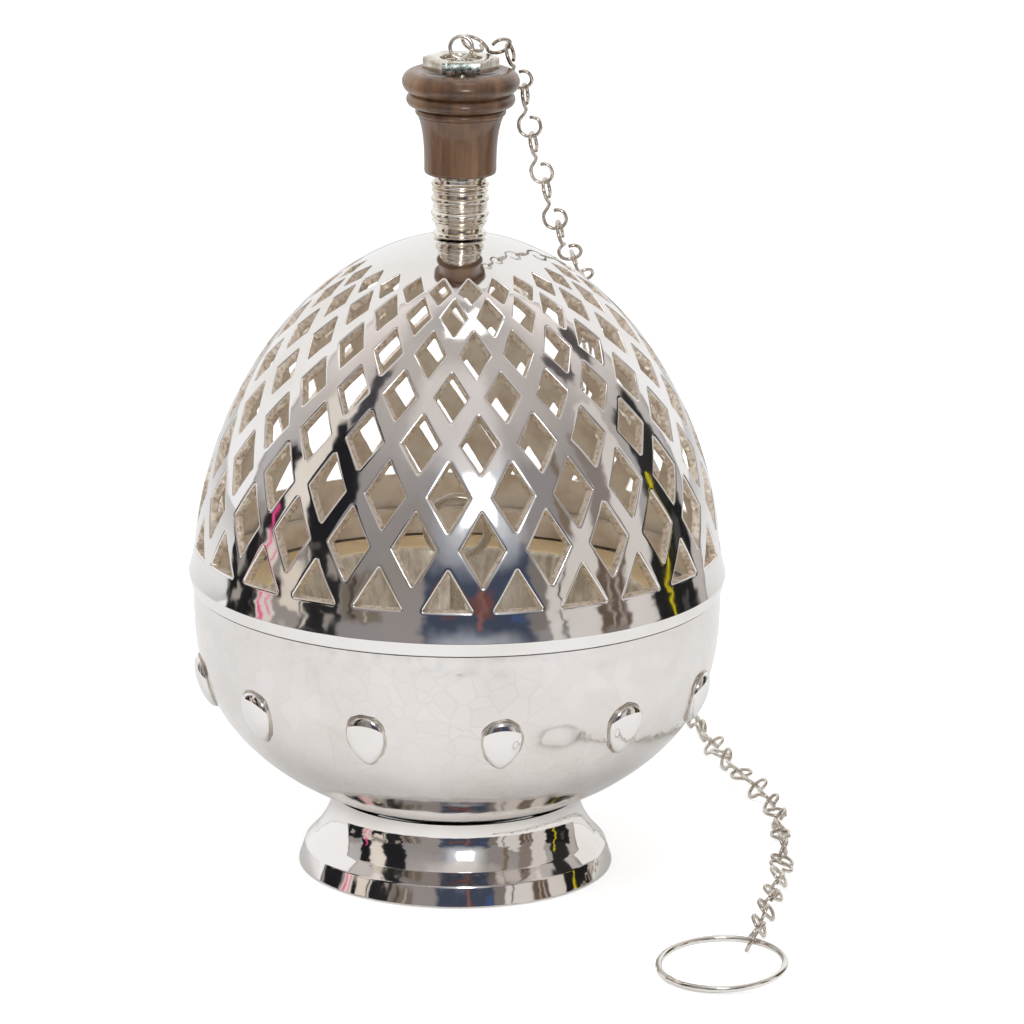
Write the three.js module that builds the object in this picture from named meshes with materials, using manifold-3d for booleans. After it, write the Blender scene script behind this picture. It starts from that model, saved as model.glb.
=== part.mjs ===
// Thurible: a pierced domed cover with a turned wooden handle on a hammered bowl and a spun foot,
// a lift-out charcoal pan inside, and a jack chain from the top eye to a finger ring.
// Millimetres, +Z up. The origin is the centre of the foot's rim, on the ground.
// Angles are in degrees about +Z, from +X towards +Y.

import * as THREE from 'three';
import { mergeVertices } from 'three/addons/utils/BufferGeometryUtils.js';
import Module from 'manifold-3d';

const wasm = await Module();
wasm.setup();

// Fits shared by every piece
const joinGap = 0.3; // between pieces that are soldered or clamped together
const facetRoom = 0.2; // lets a turned ring's corners clear the facets round it
const domeSides = 48; // facets round the cover
const roundSides = 36; // facets round the bowl, foot and pan
const handleSides = 24; // facets round the handle and collar
const smallSides = 12; // facets round the rods and small rings

// Foot
const footHeight = 21.4;
const footRimRadius = 44.9;
const footBandTopRadius = 43.2;
const footBandHeight = 5.5;
const footChamferTopRadius = 40.2;
const footChamferHeight = 8.7;
const footWaistRadius = 35.0;
const footNeckRadius = 36.0;
const footFlareSpread = 2.0; // how wide of the waist the flare starts
const footFlareStart = 4.5; // how far above the chamfer it is still spread
const footFlareEnd = 8.0; // how far above the chamfer it has reached the waist
const footWall = 1.0;

// Bowl
const bowlRimRadius = 74.8;
const bowlDepth = 69.8;
const bowlWall = 1.0;
const bowlFullness = 2.96; // how square the bowl's side is
const bowlRoundness = 1.41; // how pointed the bowl's bottom is
const bowlBands = 8;
const bowlCrowding = 0.9; // below 1, the heights crowd towards the bottom

// Studs round the bowl
const studCount = 12;
const studPhase = -80; // the first stud is 10 degrees to the right of the front
const studDrop = 25.8; // below the bowl's rim
const studWidth = 10.7;
const studLength = 15.6;
const studRise = 2.3;
const studTaper = 0.2; // how much wider the upper half is
const studRings = [[1, 0], [0.97, 0.4], [0.62, 0.9]]; // size and height of each ring, as shares
const studSides = 10;

// Cover
const coverClearance = 0.4; // between the bowl's rim and the cover's lower edge
const coverEdgeOverhang = 0.5; // beyond the bowl's rim
const coverEdgeWidth = 1.3;
const coverArrisOverhang = 1.4;
const coverArrisHeight = 3.9; // above the cover's lower edge
const domeOverhang = 0.1;
const domeRise = 97.0;
const domeShoulder = 1.86; // how full the dome's shoulder is
const domeTip = 1.91; // how round the dome's tip is
const domeFlareHeight = 9.0; // the foot of the dome turns out to the arris
const domeWall = 2.4;
const domeSeatMargin = 0.4; // how much wider the flat seat is than the collar on it

// Piercing: heights are shares of the dome's rise, widths are shares of the column pitch
const pierceColumns = 24;
const piercePhase = -92; // a triangle is 2 degrees to the left of the front
const pierceTriangle = { base: 0.0856, apex: 0.204, halfWidth: 0.355 };
const pierceDiamonds = [
  { centre: 0.2567, halfHeight: 0.1046, halfWidth: 0.327 },
  { centre: 0.3975, halfHeight: 0.0943, halfWidth: 0.327 },
  { centre: 0.534, halfHeight: 0.0773, halfWidth: 0.335 },
  { centre: 0.6526, halfHeight: 0.0639, halfWidth: 0.335 },
  { centre: 0.7557, halfHeight: 0.0577, halfWidth: 0.35 },
  { centre: 0.842, halfHeight: 0.0438, halfWidth: 0.36 },
  { centre: 0.899, halfHeight: 0.0289, halfWidth: 0.385 },
];
const pierceRowFloor = 0.22; // where the bars between the triangles start, as a share of their height
const pierceTop = 0.938;
const pierceDraft = 0.55; // how much each edge of a hole leans in through the wall
const crownRings = [0.968];

// Collar, handle, nut and rod on the cover's top
const collarHeight = 17.7;
const collarBeadRadius = 8.2;
const collarRibStep = 0.3; // how far the ribs stand back from the beads
const collarGrooveDepth = 0.9;
const collarBeadFlat = 0.22; // half the flat round a bead, as a share of its height
const collarBeads = 3;
const collarBeadHeight = 2.8;
const collarRibHeight = 1.2;
const collarNeckHeight = 2.4;
const handleHeight = 29.0;
const handleFootRadius = 9.9;
const handleWaistRadius = 10.1;
const handleThroatRadius = 12.0;
const handleBeadRadius = 12.7;
const handleRingRadius = 15.2;
const handleTopRadius = 16.4;
const handleTopSize = 3.15; // radii of the top's, the ring's and the bead's round edges
const handleRingSize = 2.0;
const handleBeadSize = 1.15;
const handleRingSink = 0.2; // how far the ring sinks into the top
const handleBeadGap = 0.3; // between the ring and the bead
const handleFillet = 0.9;
const handleGripStart = 5.0; // how far above its foot the grip is straight
const handleGripEnd = 5.5; // how far below the bead it starts to flare
const nutCornerRadius = 10.7;
const nutHeight = 3.4;
const nutRecessRadius = 5.85;
const nutRecessDepth = 1.6;
const nutWeb = 1.4; // left under the recess, for the eye's shank
const rodRadius = 3.0;
const rodTopGap = 0.8; // between the rod and the eye's head
const rodTail = 1.8; // below the lock nut
const sleeveWall = 1.5;
const sleeveLength = 16;
const washerReach = 4.2; // beyond the rod
const washerThickness = 1.2;
const lockNutReach = 2.8; // its corners beyond the rod
const lockNutHeight = 4.0;

// Eye that swivels in the nut
const eyeWire = 1.0;
const eyeRadius = 3.2; // to the middle of the wire
const eyeShankRadius = 1.1;
const eyeCollarRadius = 2.0;
const eyeCollarHeight = 0.8;
const eyeHeadStep = 0.6; // how much narrower the head is than the rod
const eyeHeadHeight = 1.1;
const eyeHoldAngle = 52; // where the chain hangs in the loop, above level

// Spigot and lock between cover and bowl
const spigotGap = 0.5; // running clearance between the skirt and the lock band
const lockBandHeight = 2.9;
const lockBandDrop = 0.4; // below the bowl's rim
const lockBandThickness = 2.0;
const lockBandBack = 0.7; // left whole behind the notches
const spigotWall = 0.9;
const spigotReach = 4.7; // below the bowl's rim
const spigotFlange = 0.8;
const lugCount = 3;
const lugPhase = -60;
const lugHalfAngle = 5;
const lugHeight = 1.0;
const lugReach = 1.4;
const notchHalfAngle = 7;

// Charcoal pan
const panClearance = 3.0; // so that the flange passes freely up through the skirt
const panFlangeWidth = 12.1;
const panFlangeTopDrop = 4.5; // below the bowl's rim
const panTaper = 6.0; // how much narrower the floor is than the mouth
const panCorner = 1.5;
const panDepth = 21.5;
const panWall = 0.8;
const ledgeReach = 1.6; // under the pan's flange
const ledgeThickness = 1.2;
const stemRadius = 2.2;
const stemFootRadius = 6.0;
const stemFootHeight = 1.6;
const liftRingRadius = 8.65; // to the middle of the wire
const liftRingWire = 2.7;
const liftRingCentreRise = 16.2; // above the bowl's rim

// Chain and finger ring
const chainWire = 1.0;
const chainPitch = 14.4;
const chainLoopWidth = 7.4;
const chainWaist = 1.2; // between the two strands at the middle of a link
const chainLoop = [[0.78, 0.84], [0.42, 0.94]]; // reach and width of a loop's corners, as shares
const chainHook = 0.25; // how far a link's crown passes the joint, as a share of the wire
const chainSlack = 0.7; // between the end links and what they hang on
const chainTurn = -45; // a link's two loops stand this far to each side
const chainStartTurn = 120; // in the eye
const chainEndTurn = 30; // on the finger ring
const chainSides = 3;
const chainLinkSteps = 12; // facets along one link
const chainFacetRadius = 0.62 * chainWire; // a three-sided wire as thick as the round one
const fingerRingRadius = 17.25; // to the middle of the wire
const fingerRingWire = 1.9;
const fingerRingTurn = 236.3; // from the last link to the ring's centre
const groundGap = 0.05; // under the finger ring's lowest point

// The chain's route, chosen by hand. Beside the handle: angle, distance beyond the handle's top
// edge, height above the nut. Behind the dome: angle and height as a share of the dome's rise.
// Beside the bowl: angle, distance beyond the dome's edge, height. On the ground: x and y.
const routeHandle = [
  [28, -6.6, 2.9],
  [31.5, -0.4, 0.9],
  [32, 4.2, -3.8],
  [33, 4.6, -10.8],
  [33, 5.3, -17.6],
  [33.3, 9.4, -31.2],
  [33.3, 14.2, -44.6],
];
const routeDome = [
  [34, 0.886],
  [43, 0.786],
  [50, 0.67],
  [55, 0.55],
  [59, 0.41],
  [62, 0.245],
  [64, 0.085],
];
const routeDomeLift = 5.0; // between the dome's surface and the middle of the chain
const routeBowl = [
  [66, 6.0, 74],
  [66, 6.0, 50],
  [66, 6.4, 22],
  [67, 8.4, 8],
  [68, 16.4, 3.4],
];
const routeGround = [
  [36.6, 104],
  [40.6, 128],
  [48.6, 146],
  [60, 150.4],
  [69, 141],
  [73, 127],
  [77.4, 104],
  [82.4, 81],
  [89, 60],
  [94, 38],
  [94.8, 14],
  [93.2, -14],
  [89.2, -40],
  [85.4, -60],
];
const routeEnd = [82.2, -81.6, 3.8]; // the middle of the finger ring's wire

// Sizes and heights that follow from the sizes above
const neckShare = (footNeckRadius - footWall) / bowlRimRadius;
const neckDrop = bowlDepth * (1 - neckShare ** bowlRoundness) ** (1 / bowlFullness);
const bowlRimHeight = footHeight + joinGap + neckDrop;
const studHeight = bowlRimHeight - studDrop;
const coverEdgeRadius = bowlRimRadius + coverEdgeOverhang;
const coverArrisRadius = bowlRimRadius + coverArrisOverhang;
const domeRadius = bowlRimRadius + domeOverhang;
const domeTopRadius = collarBeadRadius + domeSeatMargin;
const collarRibRadius = collarBeadRadius - collarRibStep;
const collarGrooveRadius = collarBeadRadius - collarGrooveDepth;
const sleeveRadius = rodRadius + sleeveWall;
const washerRadius = rodRadius + washerReach;
const lockNutCornerRadius = rodRadius + lockNutReach;
const rodBelowDome = washerThickness + lockNutHeight + rodTail;
const eyeHeadRadius = rodRadius - eyeHeadStep;
const lockBandOuter = bowlRimRadius - bowlWall - joinGap - facetRoom;
const lockBandInner = lockBandOuter - lockBandThickness;
const spigotOuter = lockBandInner - spigotGap;
const panFlangeRadius = spigotOuter - spigotWall - panClearance;
const panMouthRadius = panFlangeRadius - panFlangeWidth;
const panFloorRadius = panMouthRadius - panTaper;
const liftRingHeight = bowlRimHeight + liftRingCentreRise;
const coverBase = bowlRimHeight + coverClearance;
const domeBase = coverBase + coverArrisHeight;
const collarBase = domeFlatHeight() + joinGap;
const handleBase = collarBase + collarHeight + joinGap;
const nutBase = handleBase + handleHeight + joinGap;
const nutTop = nutBase + nutHeight;
const recessFloor = nutTop - nutRecessDepth;
const eyeLoopBottom = recessFloor + joinGap + eyeCollarHeight;
const eyeLoopHeight = eyeLoopBottom + eyeRadius;
const panFlangeTop = bowlRimHeight - panFlangeTopDrop;
const panFloor = panFlangeTop - panDepth;

// Materials
function metal(color, roughness) {
  return new THREE.MeshStandardMaterial({ color, roughness, metalness: 1 });
}
const silver = metal(0xdcd8d2, 0.14);
const hammeredSilver = metal(0xd8d3ca, 0.22);
const innerSilver = metal(0xcdbfae, 0.35);
const brass = metal(0xc9a468, 0.4);
const steel = metal(0xb9b4aa, 0.35);
const walnut = new THREE.MeshStandardMaterial({ color: 0x4a2a1c, roughness: 0.35, metalness: 0 });

const model = new THREE.Group();

// Merges shared corners, drops the flat triangles on a turned piece's axis and faces it outwards
function closed(geometry) {
  const bare = geometry.clone();
  for (const name of Object.keys(bare.attributes)) {
    if (name !== 'position') bare.deleteAttribute(name);
  }
  const merged = mergeVertices(bare, 1e-4);
  const points = merged.attributes.position;
  const source = merged.index.array;
  const index = [];
  const a = new THREE.Vector3();
  const b = new THREE.Vector3();
  const c = new THREE.Vector3();
  let volume = 0;
  for (let i = 0; i < source.length; i += 3) {
    const [p, q, r] = [source[i], source[i + 1], source[i + 2]];
    if (p === q || q === r || r === p) continue;
    index.push(p, q, r);
    a.fromBufferAttribute(points, p);
    b.fromBufferAttribute(points, q);
    c.fromBufferAttribute(points, r);
    volume += a.dot(b.cross(c));
  }
  if (volume < 0) index.reverse();
  merged.setIndex(index);
  return merged;
}

function toManifold(geometry) {
  const mesh = closed(geometry);
  return new wasm.Manifold(new wasm.Mesh({
    numProp: 3,
    vertProperties: new Float32Array(mesh.attributes.position.array),
    triVerts: new Uint32Array(mesh.index.array),
  }));
}

function fromManifold(solid) {
  const mesh = solid.getMesh();
  const geometry = new THREE.BufferGeometry();
  geometry.setAttribute('position', new THREE.Float32BufferAttribute(mesh.vertProperties, 3));
  geometry.setIndex(Array.from(mesh.triVerts));
  return geometry;
}

function add(name, geometry, material) {
  const shaped = closed(geometry);
  shaped.computeVertexNormals();
  const mesh = new THREE.Mesh(shaped, material);
  mesh.name = name;
  model.add(mesh);
  return mesh;
}

// A turned piece: the profile is a list of [radius, height]
function turned(profile, sides = roundSides) {
  const points = profile.map(([radius, height]) => new THREE.Vector2(radius, height));
  return new THREE.LatheGeometry(points, sides).rotateX(Math.PI / 2);
}

// A turned piece with a hole through it: the profile closes on itself
function turnedRing(profile, sides = roundSides) {
  return turned([...profile, profile[0]], sides);
}

function rod(radius, bottom, top, sides = smallSides) {
  return turned([[0, bottom], [radius, bottom], [radius, top], [0, top]], sides);
}

function arc(radius, height, size, from, to, steps) {
  const points = [];
  for (let i = 0; i <= steps; i += 1) {
    const angle = THREE.MathUtils.degToRad(from + ((to - from) * i) / steps);
    points.push([radius + size * Math.cos(angle), height + size * Math.sin(angle)]);
  }
  return points;
}

function polar(radius, degrees, height) {
  const angle = THREE.MathUtils.degToRad(degrees);
  return new THREE.Vector3(radius * Math.cos(angle), radius * Math.sin(angle), height);
}

// Outlines of the bowl and the dome, as a radius for each height
function bowlRadius(height) {
  const share = Math.min((bowlRimHeight - height) / bowlDepth, 1);
  return bowlRimRadius * (1 - share ** bowlFullness) ** (1 / bowlRoundness);
}

function domeOutline(height) {
  const share = Math.min(Math.max((height - domeBase) / domeRise, 0), 1);
  const curve = domeRadius * (1 - share ** domeShoulder) ** (1 / domeTip);
  const flare = Math.max(1 - (height - domeBase) / domeFlareHeight, 0);
  return curve + (coverArrisRadius - domeRadius) * flare ** 2;
}

// The height at which the dome has narrowed to its flat seat
function domeFlatHeight() {
  const base = bowlRimHeight + coverClearance + coverArrisHeight;
  const share = (1 - (domeTopRadius / domeRadius) ** domeTip) ** (1 / domeShoulder);
  return base + domeRise * share;
}

// The outward direction of an outline at a height, as [radial, vertical]
function outlineNormal(outline, height) {
  const step = 0.05;
  const slope = (outline(height + step) - outline(height - step)) / (2 * step);
  const length = Math.hypot(1, slope);
  return [1 / length, -slope / length];
}

// Points of an outline moved inwards along its normal
function insideOf(outline, height, wall) {
  const [radial, vertical] = outlineNormal(outline, height);
  return [outline(height) - wall * radial, height - wall * vertical];
}

// Foot
function makeFoot() {
  const flare = new THREE.CubicBezierCurve(
    new THREE.Vector2(footChamferTopRadius, footChamferHeight),
    new THREE.Vector2(footWaistRadius + footFlareSpread, footChamferHeight + footFlareStart),
    new THREE.Vector2(footWaistRadius, footChamferHeight + footFlareEnd),
    new THREE.Vector2(footNeckRadius, footHeight),
  );
  const outer = [[footRimRadius, 0], [footBandTopRadius, footBandHeight]];
  for (const point of flare.getPoints(4)) outer.push([point.x, point.y]);
  const inner = outer.map(([radius, height]) => [radius - footWall, height]).reverse();
  add('foot', turnedRing([...outer, ...inner]), silver);
}

// Bowl: heights crowd towards the bottom, where the outline turns in
function makeBowl() {
  const outer = [];
  const inner = [];
  for (let i = 0; i < bowlBands; i += 1) {
    const turn = ((i + 1) / bowlBands) * (Math.PI / 2);
    const height = bowlRimHeight - bowlDepth * Math.cos(turn) ** bowlCrowding;
    outer.push([bowlRadius(height), height]);
  }
  for (let i = bowlBands - 1; i >= 0; i -= 1) {
    const turn = ((i + 1) / bowlBands) * (Math.PI / 2);
    const height = bowlRimHeight - (bowlDepth - bowlWall) * Math.cos(turn) ** bowlCrowding;
    const share = (bowlRimHeight - height) / (bowlDepth - bowlWall);
    const radius = (1 - share ** bowlFullness) ** (1 / bowlRoundness);
    inner.push([(bowlRimRadius - bowlWall) * radius, height]);
  }
  const bottom = bowlRimHeight - bowlDepth;
  const profile = [[0, bottom], ...outer, ...inner, [0, bottom + bowlWall]];
  add('bowl', turned(profile), hammeredSilver);
}

// One drop-shaped stud, laid on the bowl's outline
function makeStud(name, degrees) {
  const [radial, vertical] = outlineNormal(bowlRadius, studHeight);
  const centreRadius = bowlRadius(studHeight);
  const place = (across, along, out) => {
    const height = studHeight + along * radial;
    const [outRadial, outVertical] = outlineNormal(bowlRadius, height);
    const radius = bowlRadius(height) + out * outRadial;
    const angle = degrees + THREE.MathUtils.radToDeg(across / centreRadius);
    return polar(radius, angle, height + out * outVertical);
  };
  const points = [];
  for (const [size, rise] of studRings) {
    for (let i = 0; i < studSides; i += 1) {
      const turn = (2 * Math.PI * i) / studSides;
      const taper = 1 + studTaper * Math.cos(turn);
      const across = (size * studWidth * Math.sin(turn) * taper) / 2;
      const along = (size * studLength * Math.cos(turn)) / 2;
      points.push(place(across, along, joinGap + rise * studRise));
    }
  }
  const top = points.push(place(0, 0, joinGap + studRise)) - 1;
  const bottom = points.push(place(0, 0, joinGap)) - 1;
  const index = [];
  for (let i = 0; i < studSides; i += 1) {
    const next = (i + 1) % studSides;
    for (let ring = 0; ring + 1 < studRings.length; ring += 1) {
      const low = ring * studSides;
      const high = low + studSides;
      index.push(low + i, low + next, high + next, low + i, high + next, high + i);
    }
    const last = (studRings.length - 1) * studSides;
    index.push(last + i, last + next, top);
    index.push(next, i, bottom);
  }
  const geometry = new THREE.BufferGeometry().setFromPoints(points);
  geometry.setIndex(index);
  add(name, geometry, silver);
}

// One repeat of the piercing, between two zigzag lines that follow the middle of the bars
function pierceCell() {
  const half = 0.5;
  const rise = (share) => domeBase + share * domeRise;
  const triangleHeight = pierceTriangle.apex - pierceTriangle.base;
  const floorRow = { centre: pierceTriangle.base + pierceRowFloor * triangleHeight };
  const rows = [floorRow, ...pierceDiamonds];
  const holes = [[
    [1 - pierceTriangle.halfWidth, rise(pierceTriangle.base)],
    [1 + pierceTriangle.halfWidth, rise(pierceTriangle.base)],
    [1, rise(pierceTriangle.apex)],
  ]];
  const side = [[half, domeBase]];
  rows.forEach((row, i) => {
    const shift = i % 2 === 0 ? half : 0;
    side.push([shift, rise(row.centre)]);
    if (i === 0) return;
    holes.push([
      [shift + half, rise(row.centre - row.halfHeight)],
      [shift + half + row.halfWidth, rise(row.centre)],
      [shift + half, rise(row.centre + row.halfHeight)],
      [shift + half - row.halfWidth, rise(row.centre)],
    ]);
  });
  const lastShift = side[side.length - 1][0];
  side.push([lastShift, rise(pierceTop)]);
  const contour = side.map(([across, height]) => [across + 1, height]);
  contour.push([lastShift + half, rise(pierceTop)]);
  contour.push(...side.reverse());
  contour.push([1, domeBase]);
  return { contour, holes };
}

// A hole's outline on the inner surface: each edge moves towards the hole's middle by the draft
function draftedHole(hole) {
  const heights = hole.map(([, height]) => height);
  const low = Math.min(...heights);
  const high = Math.max(...heights);
  const middle = hole[2][0]; // the top corner stands over the middle
  const isTriangle = hole.length === 3;
  const widest = isTriangle ? low : (low + high) / 2;
  const [radial] = outlineNormal(domeOutline, (low + high) / 2);
  const pitch = THREE.MathUtils.degToRad(360 / pierceColumns);
  const half = Math.max(...hole.map(([across]) => across - middle)) * pitch * domeOutline(widest);
  const tall = (high - low) / radial / (isTriangle ? 1 : 2);
  const slant = Math.hypot(half, tall);
  const room = (half * tall) / (isTriangle ? half + slant : slant);
  const centre = isTriangle ? low + room * radial : widest;
  const share = 1 - pierceDraft / room;
  return hole.map(([across, height]) => {
    return [middle + (across - middle) * share, centre + (height - centre) * share];
  });
}

// Dome: the repeat is cut into triangles once, laid on the outer and the inner surface all round,
// and joined through the holes, under the arris and over the crown
function makeDome() {
  const { contour, holes } = pierceCell();
  const pitch = 360 / pierceColumns;
  const flat = (list) => list.map(([across, height]) => {
    return new THREE.Vector2(across * bowlRimRadius * THREE.MathUtils.degToRad(pitch), height);
  });
  const faces = THREE.ShapeUtils.triangulateShape(flat(contour), holes.map(flat));
  const cell = [...contour, ...holes.flat()];
  const innerCell = [...contour, ...holes.map(draftedHole).flat()];
  const points = [];
  const index = [];
  const outside = (across, height) => {
    return polar(domeOutline(height), piercePhase + across * pitch, height);
  };
  const inside = (across, height) => {
    const [radius, level] = insideOf(domeOutline, height, domeWall);
    return polar(radius, piercePhase + across * pitch, level);
  };
  const quad = (a, b, c, d) => index.push(a, b, c, a, c, d);
  for (let column = 0; column < pierceColumns; column += 1) {
    const outer = points.length;
    for (const [across, height] of cell) points.push(outside(across + column, height));
    const inner = points.length;
    for (const [across, height] of innerCell) points.push(inside(across + column, height));
    for (const [a, b, c] of faces) {
      index.push(outer + a, outer + b, outer + c);
      index.push(inner + c, inner + b, inner + a);
    }
    let first = contour.length;
    for (const hole of holes) {
      for (let i = 0; i < hole.length; i += 1) {
        const a = first + i;
        const b = first + ((i + 1) % hole.length);
        quad(outer + a, outer + b, inner + b, inner + a);
      }
      first += hole.length;
    }
  }
  const topHeight = domeBase + pierceTop * domeRise;
  const flatHeight = domeFlatHeight();
  const crown = crownRings.map((share) => domeBase + share * domeRise);
  const holeRadius = rodRadius + joinGap;
  const over = [[domeOutline(topHeight), topHeight]];
  for (const height of crown) over.push([domeOutline(height), height]);
  over.push([domeTopRadius, flatHeight]);
  over.push([holeRadius, flatHeight]);
  over.push([holeRadius, flatHeight - domeWall]);
  over.push([domeTopRadius - domeWall / 2, flatHeight - domeWall]);
  for (const height of [...crown].reverse()) over.push(insideOf(domeOutline, height, domeWall));
  over.push(insideOf(domeOutline, topHeight, domeWall));
  const under = [insideOf(domeOutline, domeBase, domeWall)];
  under.push([coverEdgeRadius - coverEdgeWidth, coverBase]);
  under.push([coverEdgeRadius, coverBase]);
  under.push([domeOutline(domeBase), domeBase]);
  const steps = domeSides;
  for (const band of [over, under]) {
    const start = points.length;
    for (let i = 0; i < steps; i += 1) {
      const angle = piercePhase + (i * 360) / steps;
      for (const [radius, height] of band) points.push(polar(radius, angle, height));
    }
    for (let i = 0; i < steps; i += 1) {
      const here = start + i * band.length;
      const there = start + ((i + 1) % steps) * band.length;
      for (let j = 0; j + 1 < band.length; j += 1) {
        quad(here + j, there + j, there + j + 1, here + j + 1);
      }
    }
  }
  const geometry = new THREE.BufferGeometry().setFromPoints(points);
  geometry.setIndex(index);
  add('cover_dome', geometry, silver);
}

// A block that fills an angle between two radii and two heights
function sector(inner, outer, bottom, top, degrees, halfAngle) {
  const shape = new THREE.Shape();
  const steps = 3;
  for (let i = 0; i <= steps; i += 1) {
    const point = polar(inner, degrees - halfAngle + (2 * halfAngle * i) / steps, 0);
    if (i === 0) shape.moveTo(point.x, point.y);
    else shape.lineTo(point.x, point.y);
  }
  for (let i = steps; i >= 0; i -= 1) {
    const point = polar(outer, degrees - halfAngle + (2 * halfAngle * i) / steps, 0);
    shape.lineTo(point.x, point.y);
  }
  const depth = top - bottom;
  return new THREE.ExtrudeGeometry(shape, { depth, bevelEnabled: false }).translate(0, 0, bottom);
}

// Lock band in the bowl's mouth and the skirt under the cover that turns into it
function makeLock() {
  const bandTop = bowlRimHeight - lockBandDrop;
  const bandBottom = bandTop - lockBandHeight;
  let band = toManifold(turnedRing([
    [lockBandInner, bandBottom],
    [lockBandOuter, bandBottom],
    [lockBandOuter, bandTop],
    [lockBandInner, bandTop],
  ]));
  const spigotBottom = bowlRimHeight - spigotReach;
  const flangeTop = coverBase + coverArrisHeight / 2;
  const edgeInner = coverEdgeRadius - coverEdgeWidth;
  const domeInner = insideOf(domeOutline, domeBase, domeWall)[0];
  const facetDip = coverEdgeRadius * (1 - Math.cos(Math.PI / domeSides));
  const flangeOuter = Math.min(edgeInner, domeInner) - joinGap - facetDip;
  let spigot = toManifold(turnedRing([
    [spigotOuter - spigotWall, spigotBottom],
    [spigotOuter, spigotBottom],
    [spigotOuter, flangeTop - spigotFlange],
    [flangeOuter, flangeTop - spigotFlange],
    [flangeOuter, flangeTop],
    [spigotOuter - spigotWall, flangeTop],
  ]));
  for (let i = 0; i < lugCount; i += 1) {
    const degrees = lugPhase + (360 * i) / lugCount;
    const inner = spigotOuter - spigotWall / 2;
    const outer = spigotOuter + lugReach;
    const lug = sector(inner, outer, spigotBottom, spigotBottom + lugHeight, degrees, lugHalfAngle);
    spigot = spigot.add(toManifold(lug));
    const back = lockBandOuter - lockBandBack;
    const notch = sector(inner, back, bandBottom - 1, bandTop + 1, degrees, notchHalfAngle);
    band = band.subtract(toManifold(notch));
  }
  add('cover_spigot', fromManifold(spigot), innerSilver);
  add('bowl_lock_band', fromManifold(band), brass);
}

// Collar: a neck, then beads with a thin rib under each, then a plain base
function makeCollar() {
  const bore = rodRadius + joinGap;
  const top = collarBase + collarHeight;
  const profile = [[bore, collarBase], [collarRibRadius, collarBase]];
  const plain = collarHeight - collarNeckHeight - collarBeads * (collarBeadHeight + collarRibHeight);
  let level = collarBase + plain;
  profile.push([collarRibRadius, level]);
  for (let i = 0; i < collarBeads; i += 1) {
    profile.push([collarGrooveRadius, level]);
    profile.push([collarRibRadius, level + collarRibHeight / 2]);
    profile.push([collarGrooveRadius, level + collarRibHeight]);
    const middle = level + collarRibHeight + collarBeadHeight / 2;
    profile.push([collarBeadRadius, middle - collarBeadHeight * collarBeadFlat]);
    profile.push([collarBeadRadius, middle + collarBeadHeight * collarBeadFlat]);
    level += collarRibHeight + collarBeadHeight;
  }
  profile.push([collarGrooveRadius, level]);
  profile.push([collarGrooveRadius, top]);
  profile.push([bore, top]);
  add('ribbed_collar', turnedRing(profile, handleSides), silver);
}

// Handle: a waisted grip under a small bead, a ring and a round top
function makeHandle() {
  const base = handleBase;
  const top = base + handleHeight;
  const rodBore = rodRadius + joinGap;
  const sleeveBore = sleeveRadius + joinGap;
  const sleeveFloor = nutBase - sleeveLength - joinGap;
  const topLevel = top - handleTopSize;
  const ringLevel = topLevel - handleTopSize - handleRingSize + handleRingSink;
  const beadLevel = ringLevel - handleRingSize - handleBeadSize - handleBeadGap;
  const ringMiddle = handleRingRadius - handleRingSize;
  const grip = new THREE.CubicBezierCurve(
    new THREE.Vector2(handleWaistRadius, base + handleFillet),
    new THREE.Vector2(handleWaistRadius, base + handleGripStart),
    new THREE.Vector2(handleWaistRadius, beadLevel - handleGripEnd),
    new THREE.Vector2(handleThroatRadius, beadLevel - handleBeadSize),
  );
  const profile = [[rodBore, base], [handleFootRadius, base]];
  for (const point of grip.getPoints(4)) profile.push([point.x, point.y]);
  profile.push(...arc(handleBeadRadius - handleBeadSize, beadLevel, handleBeadSize, -60, 60, 2));
  profile.push(...arc(ringMiddle, ringLevel, handleRingSize, -75, 60, 3));
  profile.push(...arc(handleTopRadius - handleTopSize, topLevel, handleTopSize, -60, 90, 5));
  profile.push([sleeveBore, top], [sleeveBore, sleeveFloor], [rodBore, sleeveFloor]);
  add('wood_handle', turnedRing(profile, handleSides), walnut);
}

// Nut with its sleeve, hollow for the rod below and the eye's head above it
function makeNut() {
  const plate = turned([
    [0, nutBase],
    [nutCornerRadius, nutBase],
    [nutCornerRadius, nutTop],
    [0, nutTop],
  ], 6);
  let nut = toManifold(plate.rotateZ(Math.PI / 2));
  nut = nut.add(toManifold(rod(sleeveRadius, nutBase - sleeveLength, nutBase + 0.5)));
  nut = nut.subtract(toManifold(rod(nutRecessRadius, recessFloor, nutTop + 1, 24)));
  nut = nut.subtract(toManifold(rod(eyeShankRadius + joinGap, nutBase, nutTop)));
  const boreTop = recessFloor - nutWeb;
  nut = nut.subtract(toManifold(rod(rodRadius + joinGap, nutBase - sleeveLength - 1, boreTop)));
  add('hex_nut', fromManifold(nut), steel);
}

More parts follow.
